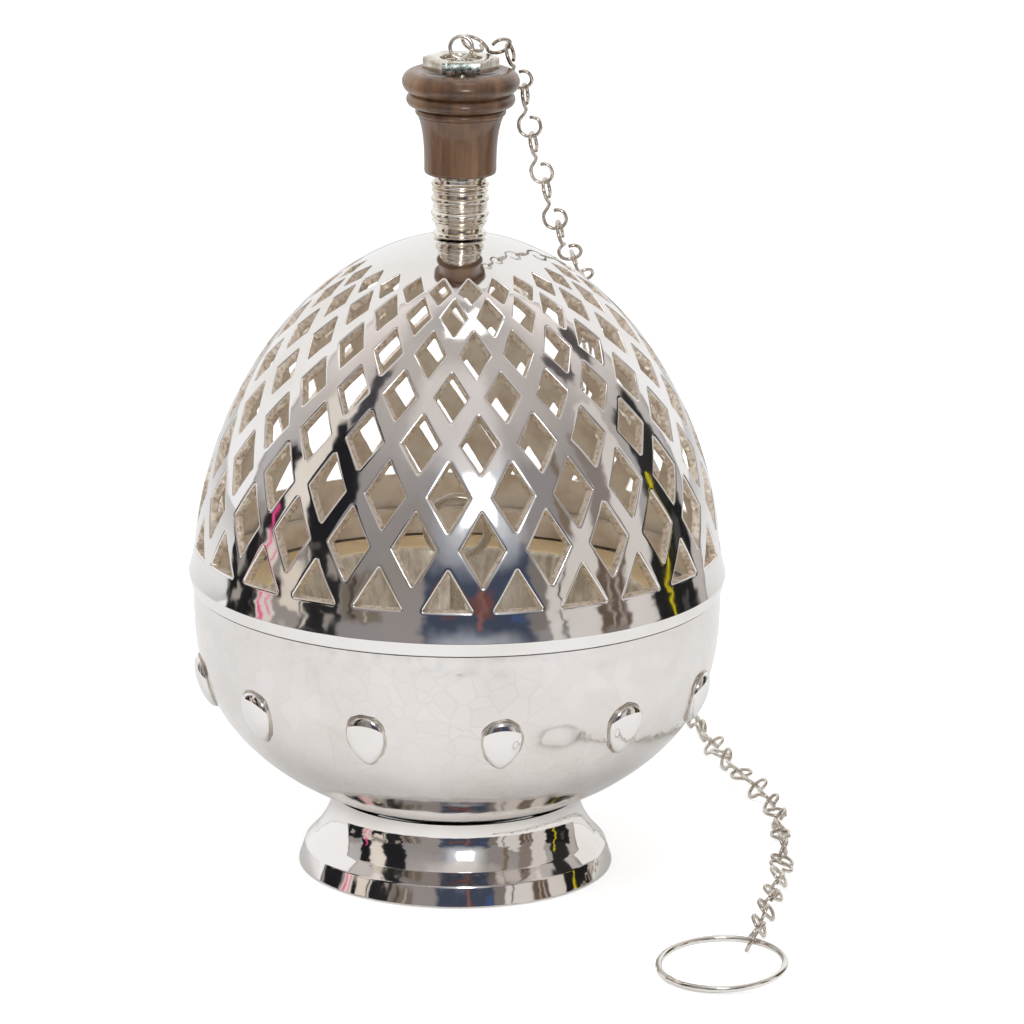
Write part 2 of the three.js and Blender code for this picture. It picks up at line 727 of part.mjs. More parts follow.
// Eye: a wire loop on a shank that turns in the nut's web, with a head under it
function makeEye() {
  const headTop = recessFloor - nutWeb - joinGap;
  const headBottom = headTop - eyeHeadHeight;
  const collarBottom = eyeLoopBottom - eyeCollarHeight;
  const loop = new THREE.TorusGeometry(eyeRadius, eyeWire / 2, 6, 16);
  let eye = toManifold(loop.rotateX(Math.PI / 2).translate(0, 0, eyeLoopHeight));
  eye = eye.add(toManifold(rod(eyeShankRadius, headBottom, eyeLoopBottom + eyeWire / 4, 10)));
  eye = eye.add(toManifold(rod(eyeCollarRadius, collarBottom, eyeLoopBottom, 10)));
  eye = eye.add(toManifold(rod(eyeHeadRadius, headBottom, headTop, 10)));
  add('top_eye', fromManifold(eye), steel);
  return headBottom;
}

// Rod, washer and nut that clamp collar and handle to the dome
function makeRod(headBottom) {
  const seat = domeFlatHeight() - domeWall - joinGap;
  const washerBottom = seat - washerThickness;
  const rodBottom = seat - rodBelowDome;
  const bore = rodRadius + joinGap;
  add('tie_rod', rod(rodRadius, rodBottom, headBottom - rodTopGap), steel);
  add('dome_washer', turnedRing([
    [bore, washerBottom],
    [washerRadius, washerBottom],
    [washerRadius, seat],
    [bore, seat],
  ], smallSides), steel);
  const nutHigh = washerBottom - joinGap;
  let nut = toManifold(turned([
    [0, nutHigh - lockNutHeight],
    [lockNutCornerRadius, nutHigh - lockNutHeight],
    [lockNutCornerRadius, nutHigh],
    [0, nutHigh],
  ], 6));
  nut = nut.subtract(toManifold(rod(bore, nutHigh - lockNutHeight - 1, nutHigh + 1)));
  add('lock_nut', fromManifold(nut), steel);
}

// Pan with its flange on the ledge, and the ring that lifts it
function makePan() {
  const flangeBottom = panFlangeTop - panWall;
  const floorTop = panFloor + panWall;
  add('charcoal_pan', turned([
    [0, panFloor],
    [panFloorRadius - panCorner, panFloor],
    [panFloorRadius, panFloor + panCorner],
    [panMouthRadius, flangeBottom],
    [panFlangeRadius, flangeBottom],
    [panFlangeRadius, panFlangeTop],
    [panMouthRadius - panWall, panFlangeTop],
    [panFloorRadius - panWall, floorTop + panCorner - joinGap],
    [panFloorRadius - panCorner - panWall, floorTop],
    [0, floorTop],
  ]), brass);
  const ledgeTop = flangeBottom - joinGap;
  const ledgeBottom = ledgeTop - ledgeThickness;
  const ledgeOuter = bowlRadius(ledgeBottom) - bowlWall - joinGap - facetRoom;
  const ledgeInner = panFlangeRadius - ledgeReach;
  add('pan_ledge', turnedRing([
    [ledgeInner, ledgeBottom],
    [ledgeOuter, ledgeBottom],
    [ledgeOuter, ledgeTop],
    [ledgeInner, ledgeTop],
  ]), innerSilver);
  const ringBottom = liftRingHeight - liftRingRadius - liftRingWire / 2;
  const stemBottom = floorTop + joinGap;
  add('pan_stem', turned([
    [0, stemBottom],
    [stemFootRadius, stemBottom],
    [stemRadius, stemBottom + stemFootHeight],
    [stemRadius, ringBottom - joinGap],
    [0, ringBottom - joinGap],
  ], smallSides), steel);
  const ring = new THREE.TorusGeometry(liftRingRadius, liftRingWire / 2, 6, 20);
  add('lifting_ring', ring.rotateX(Math.PI / 2).translate(0, 0, liftRingHeight), steel);
}

// Where the chain runs, from inside the eye's loop to the finger ring
function chainRoute() {
  const eyeInside = eyeRadius - eyeWire / 2 - chainSlack;
  const start = eyeInside - chainFacetRadius + chainHook * chainWire;
  const ground = Math.SQRT1_2 * (chainLoopWidth - chainWire) / 2 + chainFacetRadius;
  const hold = THREE.MathUtils.degToRad(eyeHoldAngle);
  const points = [new THREE.Vector3(start * Math.cos(hold), 0, eyeLoopHeight + start * Math.sin(hold))];
  for (const [degrees, out, up] of routeHandle) {
    points.push(polar(handleTopRadius + out, degrees, nutTop + up));
  }
  for (const [degrees, share] of routeDome) {
    const height = domeBase + share * domeRise;
    const [radius, level] = insideOf(domeOutline, height, -routeDomeLift);
    points.push(polar(radius, degrees, level));
  }
  for (const [degrees, out, height] of routeBowl) {
    points.push(polar(coverArrisRadius + out, degrees, height));
  }
  for (const [x, y] of routeGround) points.push(new THREE.Vector3(x, y, ground));
  const past = fingerRingWire / 2 + chainSlack + chainFacetRadius - chainHook * chainWire;
  points.push(new THREE.Vector3(...routeEnd).addScaledVector(polar(1, fingerRingTurn, 0), past));
  return points;
}

// One link: a closed wire, pinched at its waist, with its two loops a quarter turn apart
function chainLink(middle, along, first, second, half) {
  const place = (reach, wide, side) => {
    return middle.clone().addScaledVector(along, reach).addScaledVector(wide, side);
  };
  const width = (chainLoopWidth - chainWire) / 2;
  const between = first.clone().add(second).normalize();
  const crownToWaist = chainLoop.map(([reach, wide]) => [half * reach, width * wide]);
  const waistToCrown = [...crownToWaist].reverse();
  const points = [
    place(half, second, 0),
    ...crownToWaist.map(([reach, wide]) => place(reach, second, wide)),
    place(0, between, chainWaist / 2),
    ...waistToCrown.map(([reach, wide]) => place(-reach, first, wide)),
    place(-half, first, 0),
    ...crownToWaist.map(([reach, wide]) => place(-reach, first, -wide)),
    place(0, between, -chainWaist / 2),
    ...waistToCrown.map(([reach, wide]) => place(reach, second, -wide)),
  ];
  const wire = new THREE.CatmullRomCurve3(points, true);
  return new THREE.TubeGeometry(wire, chainLinkSteps, chainFacetRadius, chainSides, true);
}

// Chain: links from joint to joint of the route, each touching the next
function makeChain() {
  const route = new THREE.CatmullRomCurve3(chainRoute());
  route.arcLengthDivisions = 2000;
  const links = Math.round(route.getLength() / chainPitch);
  const joints = route.getSpacedPoints(links);
  const up = new THREE.Vector3(0, 0, 1);
  const solids = [];
  for (let i = 0; i < links; i += 1) {
    const along = joints[i + 1].clone().sub(joints[i]);
    const half = along.length() / 2 + chainHook * chainWire;
    along.normalize();
    const middle = joints[i].clone().add(joints[i + 1]).multiplyScalar(0.5);
    const outward = new THREE.Vector3(middle.x, middle.y, 0).normalize();
    const away = up.clone().multiplyScalar(Math.hypot(along.x, along.y));
    away.addScaledVector(outward, -along.z);
    away.addScaledVector(along, -away.dot(along)).normalize();
    const start = i === 0 ? chainStartTurn : chainTurn;
    const end = i === links - 1 ? chainEndTurn : chainTurn;
    const first = away.clone().applyAxisAngle(along, THREE.MathUtils.degToRad(start));
    const second = away.clone().applyAxisAngle(along, THREE.MathUtils.degToRad(-end));
    solids.push(toManifold(chainLink(middle, along, first, second, half)));
  }
  add('chain', fromManifold(wasm.Manifold.union(solids)), silver);
}

// Finger ring, lying on the ground with the side that the last link holds raised
function makeFingerRing() {
  const hold = new THREE.Vector3(...routeEnd);
  const toward = polar(1, fingerRingTurn, 0);
  const tangent = new THREE.Vector3(-toward.y, toward.x, 0);
  const rise = hold.z - fingerRingWire / 2 - groundGap;
  const tilt = Math.asin(rise / (2 * fingerRingRadius));
  const ring = new THREE.TorusGeometry(fingerRingRadius, fingerRingWire / 2, 6, 28);
  ring.applyMatrix4(new THREE.Matrix4().makeRotationAxis(tangent, tilt));
  const fall = toward.clone().applyAxisAngle(tangent, tilt);
  const centre = hold.clone().addScaledVector(fall, fingerRingRadius);
  add('finger_ring', ring.translate(centre.x, centre.y, centre.z), silver);
}

makeFoot();
makeBowl();
for (let i = 0; i < studCount; i += 1) {
  const number = String(i + 1).padStart(2, '0');
  makeStud(`cabochon_${number}`, studPhase + (360 * i) / studCount);
}
makeDome();
makeLock();
makeCollar();
makeHandle();
makeNut();
const eyeHeadBottom = makeEye();
makeRod(eyeHeadBottom);
makePan();
makeChain();
makeFingerRing();

export default model;
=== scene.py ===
# Looks of the thurible: silvered pierced dome, hammered bowl, turned grip, jack chain and ring.
# Pieces are drawn in millimetres in the CAD's own frame and stored in metres.

import math

import bpy
import numpy as np
from mathutils import Matrix, Vector, geometry, kdtree


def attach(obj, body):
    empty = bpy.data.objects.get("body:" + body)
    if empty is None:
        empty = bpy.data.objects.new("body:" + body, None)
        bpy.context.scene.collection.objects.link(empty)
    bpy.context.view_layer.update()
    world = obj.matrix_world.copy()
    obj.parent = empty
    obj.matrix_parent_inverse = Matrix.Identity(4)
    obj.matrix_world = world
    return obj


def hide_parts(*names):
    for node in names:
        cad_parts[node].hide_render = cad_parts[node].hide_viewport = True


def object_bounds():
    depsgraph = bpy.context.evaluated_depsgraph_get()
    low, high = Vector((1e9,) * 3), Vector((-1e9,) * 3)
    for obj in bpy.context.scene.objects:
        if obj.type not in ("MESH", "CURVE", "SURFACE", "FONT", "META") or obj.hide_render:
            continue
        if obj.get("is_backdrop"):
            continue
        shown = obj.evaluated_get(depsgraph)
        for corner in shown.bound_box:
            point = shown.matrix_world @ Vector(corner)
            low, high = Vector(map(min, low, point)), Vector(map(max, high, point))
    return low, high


MM = 0.001
RNG = np.random.default_rng(7)

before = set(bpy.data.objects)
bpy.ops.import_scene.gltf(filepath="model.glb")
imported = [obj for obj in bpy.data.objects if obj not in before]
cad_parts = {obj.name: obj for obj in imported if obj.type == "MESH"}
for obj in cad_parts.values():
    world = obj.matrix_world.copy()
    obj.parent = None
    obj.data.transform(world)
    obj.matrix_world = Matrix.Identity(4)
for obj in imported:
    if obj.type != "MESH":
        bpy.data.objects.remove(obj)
CAD_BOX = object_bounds()
scene = bpy.context.scene

# Sizes repeated from the CAD source, in millimetres
BOWL_RIM_RADIUS = 74.8
BOWL_DEPTH = 69.8
BOWL_WALL = 1.0
BOWL_FULLNESS = 2.96
BOWL_ROUNDNESS = 1.41
FOOT_HEIGHT = 21.4
FOOT_NECK_INNER = 35.0
COVER_CLEARANCE = 0.4
COVER_EDGE_RADIUS = 75.3
ARRIS_RADIUS = 76.2
ARRIS_HEIGHT = 3.9
DOME_RADIUS = 74.9
DOME_RISE = 97.0
DOME_SHOULDER = 1.86
DOME_TIP = 1.91
DOME_FLARE_HEIGHT = 9.0
DOME_WALL = 2.4
DOME_TOP_RADIUS = 8.6
ROD_BORE = 3.3
GAP = 0.3  # left between neighbouring solids
COLUMNS = 24
PITCH = 360 / COLUMNS
PIERCE_PHASE = -92.0
# Shares of the dome's rise and of a column's width: base, apex and half width
TRIANGLE = (0.0856, 0.204, 0.355)
# The same for the diamonds: middle, half height and half width
DIAMONDS = [
    (0.2567, 0.1046, 0.327),
    (0.3975, 0.0943, 0.327),
    (0.534, 0.0773, 0.335),
    (0.6526, 0.0639, 0.335),
    (0.7557, 0.0577, 0.35),
    (0.842, 0.0438, 0.36),
    (0.899, 0.0289, 0.385),
]
PIERCE_TOP = 0.938

_share = FOOT_NECK_INNER / BOWL_RIM_RADIUS
BOWL_RIM = FOOT_HEIGHT + GAP + BOWL_DEPTH * (1 - _share**BOWL_ROUNDNESS) ** (1 / BOWL_FULLNESS)
COVER_BASE = BOWL_RIM + COVER_CLEARANCE
DOME_BASE = COVER_BASE + ARRIS_HEIGHT


# ---------------------------------------------------------------- outlines
def bowl_radius(z):
    share = min(max((BOWL_RIM - z) / BOWL_DEPTH, 0.0), 1.0)
    return BOWL_RIM_RADIUS * (1 - share**BOWL_FULLNESS) ** (1 / BOWL_ROUNDNESS)


def dome_radius(z):
    share = min(max((z - DOME_BASE) / DOME_RISE, 0.0), 1.0)
    curve = DOME_RADIUS * (1 - share**DOME_SHOULDER) ** (1 / DOME_TIP)
    flare = max(1 - (z - DOME_BASE) / DOME_FLARE_HEIGHT, 0.0)
    return curve + (ARRIS_RADIUS - DOME_RADIUS) * flare**2


def dome_height(radius):
    """Where the dome has this radius, above its flare."""
    share = (1 - (radius / DOME_RADIUS) ** DOME_TIP) ** (1 / DOME_SHOULDER)
    return DOME_BASE + DOME_RISE * share


DOME_TOP = dome_height(DOME_TOP_RADIUS)


def outline_normal(outline, z):
    step = 0.02
    slope = (outline(z + step) - outline(z - step)) / (2 * step)
    length = math.hypot(1, slope)
    return 1 / length, -slope / length


def polar(radius, degrees, z):
    angle = math.radians(degrees)
    return radius * math.cos(angle), radius * math.sin(angle), z


def turns_of(count):
    return [2 * math.pi * i / count for i in range(count)]


# ---------------------------------------------------------------- camera
def set_camera():
    """The camera that the photograph's ellipses and lines were fitted with."""
    pitch, yaw, roll = math.radians(15.3), math.radians(0.555), math.radians(-0.56)
    place = (0, -1.5841, 0.5364)
    focal_pixels, picture_pixels, sensor = 5800, 1024, 36
    level = math.cos(pitch)
    forward = Vector((math.sin(yaw) * level, math.cos(yaw) * level, -math.sin(pitch)))
    right = Vector((math.cos(yaw), -math.sin(yaw), 0))
    up = right.cross(forward)
    c, s = math.cos(roll), math.sin(roll)
    turn = Matrix((right * c - up * s, right * s + up * c, -forward)).transposed()
    data = bpy.data.cameras.new("camera")
    data.sensor_width = sensor
    data.lens = focal_pixels / picture_pixels * sensor
    camera = add_object("camera", data)
    camera.matrix_world = Matrix.Translation(place) @ turn.to_4x4()
    scene.camera = camera


# ---------------------------------------------------------------- mesh helpers
def add_object(name, data):
    obj = bpy.data.objects.new(name, data)
    scene.collection.objects.link(obj)
    return obj


def make_object(name, shape, materials, body, normals=None, sharp=40, looks=None):
    """A mesh object from a shape's millimetre points and its faces; coinciding points are joined.
    looks holds the number of each face's material."""
    points, faces = np.asarray(shape[0], float), shape[1]
    seen = {}
    remap = []
    for i, key in enumerate(map(tuple, np.round(points, 4))):
        remap.append(seen.setdefault(key, (len(seen), i))[0])
    kept = [i for _, i in seen.values()]
    clean, clean_looks = [], []
    for face, look in zip(faces, looks or [0] * len(faces)):
        loop = list(dict.fromkeys(remap[i] for i in face))
        if len(loop) > 2:
            clean.append(loop)
            clean_looks.append(look)
    mesh = bpy.data.meshes.new(name)
    mesh.from_pydata((points[kept] * MM).tolist(), [], clean)
    mesh.polygons.foreach_set("material_index", clean_looks)
    for material in materials:
        mesh.materials.append(material)
    mesh.shade_smooth()
    if normals is None:
        mesh.set_sharp_from_angle(angle=math.radians(sharp))
    else:
        mesh.normals_split_custom_set_from_vertices(np.asarray(normals)[kept].tolist())
    obj = add_object(name, mesh)
    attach(obj, body)
    return obj


def grid(rows, width, start=0, wrap_rows=False, wrap=True, flip=False):
    """Faces between rows of points. wrap_rows joins the last row to the first, wrap the end of
    each row to its start, and flip turns the faces over."""
    faces = []
    for i in range(rows if wrap_rows else rows - 1):
        a, b = start + i * width, start + (i + 1) % rows * width
        for k in range(width if wrap else width - 1):
            m = (k + 1) % width
            faces.append((a + k, b + k, b + m, a + m) if flip else (a + k, a + m, b + m, b + k))
    return faces


def soften(profile, size, steps=4):
    """Rounds the corners between a profile's ends, by one size per point."""
    out = []
    for i, (point, amount) in enumerate(zip(profile, size)):
        if i in (0, len(profile) - 1) or amount <= 0:
            out.append(tuple(point))
            continue
        p, a, b = Vector(point), Vector(profile[i - 1]), Vector(profile[i + 1])
        start = p + (a - p).normalized() * min(amount, 0.45 * (a - p).length)
        end = p + (b - p).normalized() * min(amount, 0.45 * (b - p).length)
        for k in range(steps + 1):
            t = k / steps
            q = start * (1 - t) ** 2 + p * 2 * t * (1 - t) + end * t**2
            out.append((q.x, q.y))
    return out


def lathe(profile, sides, closed=True):
    """Points and faces of a turned surface. Points on the axis are joined later."""
    points = []
    for turn in turns_of(sides):
        c, s = math.cos(turn), math.sin(turn)
        points.extend((r * c, r * s, z) for r, z in profile)
    return points, grid(sides, len(profile), wrap_rows=True, wrap=closed, flip=True)


def arc(cx, cz, size, start, end, steps):
    turns = [math.radians(start + (end - start) * i / steps) for i in range(steps + 1)]
    return [(cx + size * math.cos(a), cz + size * math.sin(a)) for a in turns]


def bezier(points, steps):
    out = []
    for i in range(steps + 1):
        t = i / steps
        u = 1 - t
        shares = (u**3, 3 * u * u * t, 3 * u * t * t, t**3)
        out.append(tuple(sum(s * p[k] for s, p in zip(shares, points)) for k in (0, 1)))
    return out


def tube(path, radius, sides, closed=False, up=None):
    """Points and faces of a round tube along a path of vectors; radius may vary."""
    count = len(path)
    radii = radius if isinstance(radius, list) else [radius] * count
    tangents = []
    for i in range(count):
        a = path[i - 1] if (i or closed) else path[0]
        b = path[(i + 1) % count] if (i < count - 1 or closed) else path[-1]
        tangents.append((b - a).normalized())
    side = (up or Vector((0.3, 0.2, 1))).cross(tangents[0]).normalized()
    points = []
    for place, tangent, size in zip(path, tangents, radii):
        side = (side - tangent * side.dot(tangent)).normalized()
        other = tangent.cross(side)
        for turn in turns_of(sides):
            points.append(tuple(place + (side * math.cos(turn) + other * math.sin(turn)) * size))
    faces = grid(count, sides, wrap_rows=closed)
    if not closed:
        faces.append(tuple(reversed(range(sides))))
        faces.append(tuple(range((count - 1) * sides, count * sides)))
    return points, faces


def join(parts):
    points, faces = [], []
    for more_points, more_faces in parts:
        base = len(points)
        points.extend(more_points)
        faces.extend(tuple(base + i for i in face) for face in more_faces)
    return points, faces


def catmull(points, steps):
    """Centripetal Catmull-Rom through the points, as three.js draws it."""
    points = [Vector(p) for p in points]
    points = [points[0] * 2 - points[1], *points, points[-1] * 2 - points[-2]]
    out = []
    for p0, p1, p2, p3 in zip(points, points[1:], points[2:], points[3:]):
        d0, d1, d2 = (max((b - a).length_squared ** 0.25, 1e-4) for a, b in ((p0, p1), (p1, p2), (p2, p3)))
        t1 = ((p1 - p0) / d0 - (p2 - p0) / (d0 + d1) + (p2 - p1) / d1) * d1
        t2 = ((p2 - p1) / d1 - (p3 - p1) / (d1 + d2) + (p3 - p2) / d2) * d1
        a = p1 * 2 - p2 * 2 + t1 + t2
        b = p1 * -3 + p2 * 3 - t1 * 2 - t2
        for k in range(steps):
            t = k / steps
            out.append(p1 + t1 * t + b * t * t + a * t**3)
    out.append(points[-2])
    return out


# ---------------------------------------------------------------- materials
def connect(tree, node, inputs):
    """Gives a node its inputs, which are values or the outputs of other nodes."""
    for socket, value in inputs.items():
        if isinstance(value, bpy.types.NodeSocket):
            tree.links.new(value, node.inputs[socket])
        else:
            node.inputs[socket].default_value = value
    return node


def add_node(tree, kind, inputs):
    return connect(tree, tree.nodes.new(kind), inputs)


def new_material(name, color, roughness, metallic):
    material = bpy.data.materials.new(name)
    material.use_nodes = True
    tree = material.node_tree
    inputs = {"Base Color": (*color, 1), "Roughness": roughness, "Metallic": metallic}
    return material, tree, connect(tree, tree.nodes["Principled BSDF"], inputs)


def object_place(tree):
    return tree.nodes.new("ShaderNodeTexCoord").outputs["Object"]


def object_axis(tree, axis):
    split = add_node(tree, "ShaderNodeSeparateXYZ", {0: object_place(tree)})
    return split.outputs[axis]


def add_noise(tree, scale, detail, stretch=(1, 1, 1), roughness=0.5):
    mapping = add_node(tree, "ShaderNodeMapping", {"Vector": object_place(tree), "Scale": stretch})
    inputs = {"Vector": mapping.outputs["Vector"], "Scale": scale, "Detail": detail, "Roughness": roughness}
    return add_node(tree, "ShaderNodeTexNoise", inputs).outputs["Fac"]


def ramp(tree, source, stops):
    node = add_node(tree, "ShaderNodeValToRGB", {"Fac": source})
    elements = node.color_ramp.elements
    while len(elements) < len(stops):
        elements.new(0.5)
    for element, (place, color) in zip(elements, stops):
        element.position = place
        element.color = (*color, 1)
    return node.outputs["Color"]


def span(tree, source, low, high, start=0.0, end=1.0):
    """Takes start to end of the source to low to high."""
    inputs = {"Value": source, "From Min": start, "From Max": end, "To Min": low, "To Max": high}
    return add_node(tree, "ShaderNodeMapRange", inputs).outputs["Result"]


def calculate(tree, operation, *values):
    node = add_node(tree, "ShaderNodeMath", dict(enumerate(values)))
    node.operation = operation
    return node.outputs[0]


def blend(tree, mode, share, below, above):
    node = tree.nodes.new("ShaderNodeMix")
    node.data_type = "RGBA"
    node.blend_type = mode
    connect(tree, node, {"Factor": share, 6: below, 7: above})
    return node.outputs[2]


def finish_surface(tree, shader, color, roughness):
    connect(tree, shader, {"Base Color": color, "Roughness": roughness})


def bump(tree, shader, source, strength, distance):
    node = add_node(tree, "ShaderNodeBump", {"Strength": strength, "Distance": distance, "Height": source})
    connect(tree, shader, {"Normal": node.outputs["Normal"]})


def plate(tree, size, clean, tarnish):
    """Slightly cloudy colour of plated metal."""
    return ramp(tree, add_noise(tree, size, 4), [(0.42, clean), (0.75, tarnish)])


def buffed(tree, low, high):
    """Roughness of fine buffing marks."""
    return span(tree, add_noise(tree, 260, 3), low, high, 0.35, 0.75)


def silver(name, clean, tarnish, roughness, spread, wave, metallic=1.0, size=38, length=55):
    """Polished plate: slight cloudy tarnish, buffing marks and a faint long wave."""
    material, tree, shader = new_material(name, clean, roughness, metallic)
    color = plate(tree, size, clean, tarnish)
    finish_surface(tree, shader, color, buffed(tree, roughness, roughness + spread))
    bump(tree, shader, add_noise(tree, length, 2), wave, 0.0004)
    return material


def hammered_material():
    """Planished silver: each hammer blow left a facet, with a faint line of painted shade round it where its edge
    turns.
    """
    clean = (0.77, 0.74, 0.72)
    material, tree, shader = new_material("hammered_silver", clean, 0.09, 1.0)
    color = plate(tree, 38, clean, (0.71, 0.67, 0.63))
    inputs = {"Scale": 175, "Vector": object_place(tree)}
    facets = add_node(tree, "ShaderNodeTexVoronoi", inputs)
    # painted shade: a faint darker line along every facet's edge, in patches
    lines = add_node(tree, "ShaderNodeTexVoronoi", inputs)
    lines.feature = "DISTANCE_TO_EDGE"
    outline = ramp(tree, lines.outputs["Distance"], [(0.0, (0.93, 0.92, 0.90)), (0.05, (1, 1, 1))])
    tones = ramp(tree, facets.outputs["Color"], [(0.0, (0.965, 0.96, 0.955)), (1.0, (1.02, 1.02, 1.02))])
    # heights in metres between which the bowl is hammered
    above = span(tree, object_axis(tree, "Z"), 0, 1, 0.0245, 0.026)
    below = span(tree, object_axis(tree, "Z"), 1, 0, 0.078, 0.080)
    where = calculate(tree, "MULTIPLY", above, below)
    patches = span(tree, add_noise(tree, 22, 2), 0.15, 1.0, 0.4, 0.62)
    color = blend(tree, "MULTIPLY", calculate(tree, "MULTIPLY", where, patches), color, outline)
    color = blend(tree, "MULTIPLY", where, color, tones)
    finish_surface(tree, shader, color, buffed(tree, 0.08, 0.18))
    bump(tree, shader, add_noise(tree, 140, 1), 0.25, 0.0003)
    return material


def streaked_material():
    """Inside of the pan: dull plate with upright light and dark streaks of painted reflection."""
    material, tree, shader = new_material("pan_wall", (0.90, 0.86, 0.78), 0.3, 0.6)
    # painted reflection: upright bright and dark stripes in the wall's colour and roughness
    streak = add_noise(tree, 330, 3, (1, 1, 0.02), 0.6)
    stops = [(0.36, (0.60, 0.54, 0.46)), (0.52, (0.86, 0.81, 0.72)), (0.68, (1.0, 0.98, 0.93))]
    finish_surface(tree, shader, ramp(tree, streak, stops), span(tree, streak, 0.42, 0.22))
    return material


def nut_material():
    """Worn plate; the dark grey-green mottling that the photographed front face has is painted into the front
    face's colour as a painted reflection.
    """
    clean = (0.82, 0.78, 0.70)
    material, tree, shader = new_material("worn_nut_painted_reflection", clean, 0.12, 1.0)
    color = plate(tree, 220, clean, (0.40, 0.33, 0.25))
    # painted reflection: dark grey-green mottling that stands in for what the front face mirrors
    stops = [(0.36, (0.10, 0.12, 0.11)), (0.52, (0.34, 0.37, 0.34)), (0.66, (0.68, 0.66, 0.58))]
    painted_reflection = ramp(tree, add_noise(tree, 900, 5), stops)
    # the front face, which gets the painted reflection, is 9.27 mm before the axis
    front = span(tree, object_axis(tree, "Y"), 1, 0, -0.00926, -0.00915)
    color = blend(tree, "MIX", front, color, painted_reflection)
    finish_surface(tree, shader, color, buffed(tree, 0.12, 0.34))
    bump(tree, shader, add_noise(tree, 200, 2), 0.35, 0.0004)
    return material


def wood_material():
    material, tree, shader = new_material("walnut", (0.09, 0.03, 0.018), 0.2, 0.0)
    grain = add_noise(tree, 120, 8, (1, 1, 0.14), 0.62)
    streak = add_noise(tree, 520, 5, (1, 1, 0.05), 0.6)
    mixed = calculate(tree, "MULTIPLY_ADD", streak, 0.35, grain)
    stops = [
        (0.42, (0.028, 0.012, 0.006)),
        (0.58, (0.084, 0.038, 0.017)),
        (0.72, (0.15, 0.072, 0.032)),
        (0.88, (0.24, 0.125, 0.056)),
    ]
    finish_surface(tree, shader, ramp(tree, mixed, stops), span(tree, grain, 0.32, 0.5))
    connect(tree, shader, {"Coat Weight": 0.55, "Coat Roughness": 0.05})
    bump(tree, shader, streak, 0.12, 0.0002)
    return material


# Name, clean colour, tarnish, roughness, its spread, depth of the wave, and what differs
PLATES = {
    "silver": ("silver", (0.83, 0.81, 0.80), (0.76, 0.73, 0.69), 0.045, 0.06, 0.35, {"length": 90}),
    "foot": ("foot_silver", (0.84, 0.81, 0.79), (0.74, 0.70, 0.65), 0.035, 0.05, 0.22, {"length": 110}),
    "edge": (
        "cut_edge_silver", (0.88, 0.80, 0.70), (0.46, 0.36, 0.26), 0.3, 0.2, 0.8, {"metallic": 0.8, "size": 900},
    ),
    "inner": (
        "inner_silver", (0.97, 0.92, 0.85), (0.70, 0.60, 0.49), 0.40, 0.18, 0.4, {"metallic": 0.4, "size": 110},
    ),
    "collar": (
        "collar_silver", (0.88, 0.84, 0.76), (0.58, 0.49, 0.38), 0.09, 0.14, 0.3, {"size": 160, "length": 300},
    ),
    "chain": ("chain_silver", (0.70, 0.65, 0.58), (0.38, 0.32, 0.26), 0.12, 0.16, 0.15, {}),
    "ring": ("ring_silver", (0.84, 0.82, 0.78), (0.60, 0.56, 0.50), 0.08, 0.12, 0.1, {}),
    "steel": ("worn_steel", (0.78, 0.75, 0.69), (0.52, 0.45, 0.36), 0.2, 0.2, 0.4, {}),
    "brass": ("dull_brass", (1.0, 0.84, 0.55), (0.88, 0.69, 0.42), 0.34, 0.2, 0.3, {"metallic": 0.5}),
    "solder": ("stained_solder", (0.62, 0.57, 0.50), (0.30, 0.25, 0.20), 0.25, 0.2, 0.6, {}),
}


def make_materials():
    looks = {key: silver(*values, **rest) for key, (*values, rest) in PLATES.items()}
    looks["hammered"] = hammered_material()
    looks["nut"] = nut_material()
    looks["pan_wall"] = streaked_material()
    looks["wood"] = wood_material()
    return looks


# ---------------------------------------------------------------- dome
# Arc length s along the dome's outline, from its arris up, with the heights and radii there
LINE_Z = np.linspace(DOME_BASE, DOME_BASE + PIERCE_TOP * DOME_RISE, 600)
LINE_R = np.array([dome_radius(z) for z in LINE_Z])
LINE_S = np.concatenate(([0.0], np.cumsum(np.hypot(np.diff(LINE_Z), np.diff(LINE_R)))))
COLUMN_WIDTH = 16  # of a column near the dome's middle, for judging lengths
COLUMN_STEPS = 12
HOLE_CORNER = 0.32
CORNER_STEPS = 4
# Each loop of a hole: how far it is moved out of the hole's outline and in from it, its depth
# below the surface and the tilt of its normal towards the hole
HOLE_LOOPS = [
    (1.15, 0, 0.0, 0), (0.72, 0, 0.004, 4), (0.4, 0, 0.02, 14), (0.17, 0, 0.09, 38),
    (0.04, 0, 0.22, 64), (0, 0, 0.38, 80), (0, 0.14, 0.85, 78), (0, 0.34, 1.5, 77),
    (0, 0.5, 2.12, 80), (0.02, 0.55, 2.33, 120), (0.2, 0.55, 2.4, 175),
]
CUT = 5  # from this loop on the wall is the rough cut
SILVER, INNER, EDGE = 0, 1, 2


def radius_at(s):
    return float(np.interp(s, LINE_S, LINE_R))


def rise(share):
    return float(np.interp(DOME_BASE + share * DOME_RISE, LINE_Z, LINE_S))


def steps_between(a, b, size):
    return max(2, round(math.hypot((a[0] - b[0]) * COLUMN_WIDTH, a[1] - b[1]) / size))


def inside(point, polygon):
    x, y = point
    hit = False
    for (x0, y0), (x1, y1) in zip(polygon[-1:] + polygon[:-1], polygon):
        if (y1 > y) != (y0 > y) and x < (x0 - x1) * (y - y1) / (y0 - y1) + x1:
            hit = not hit
    return hit


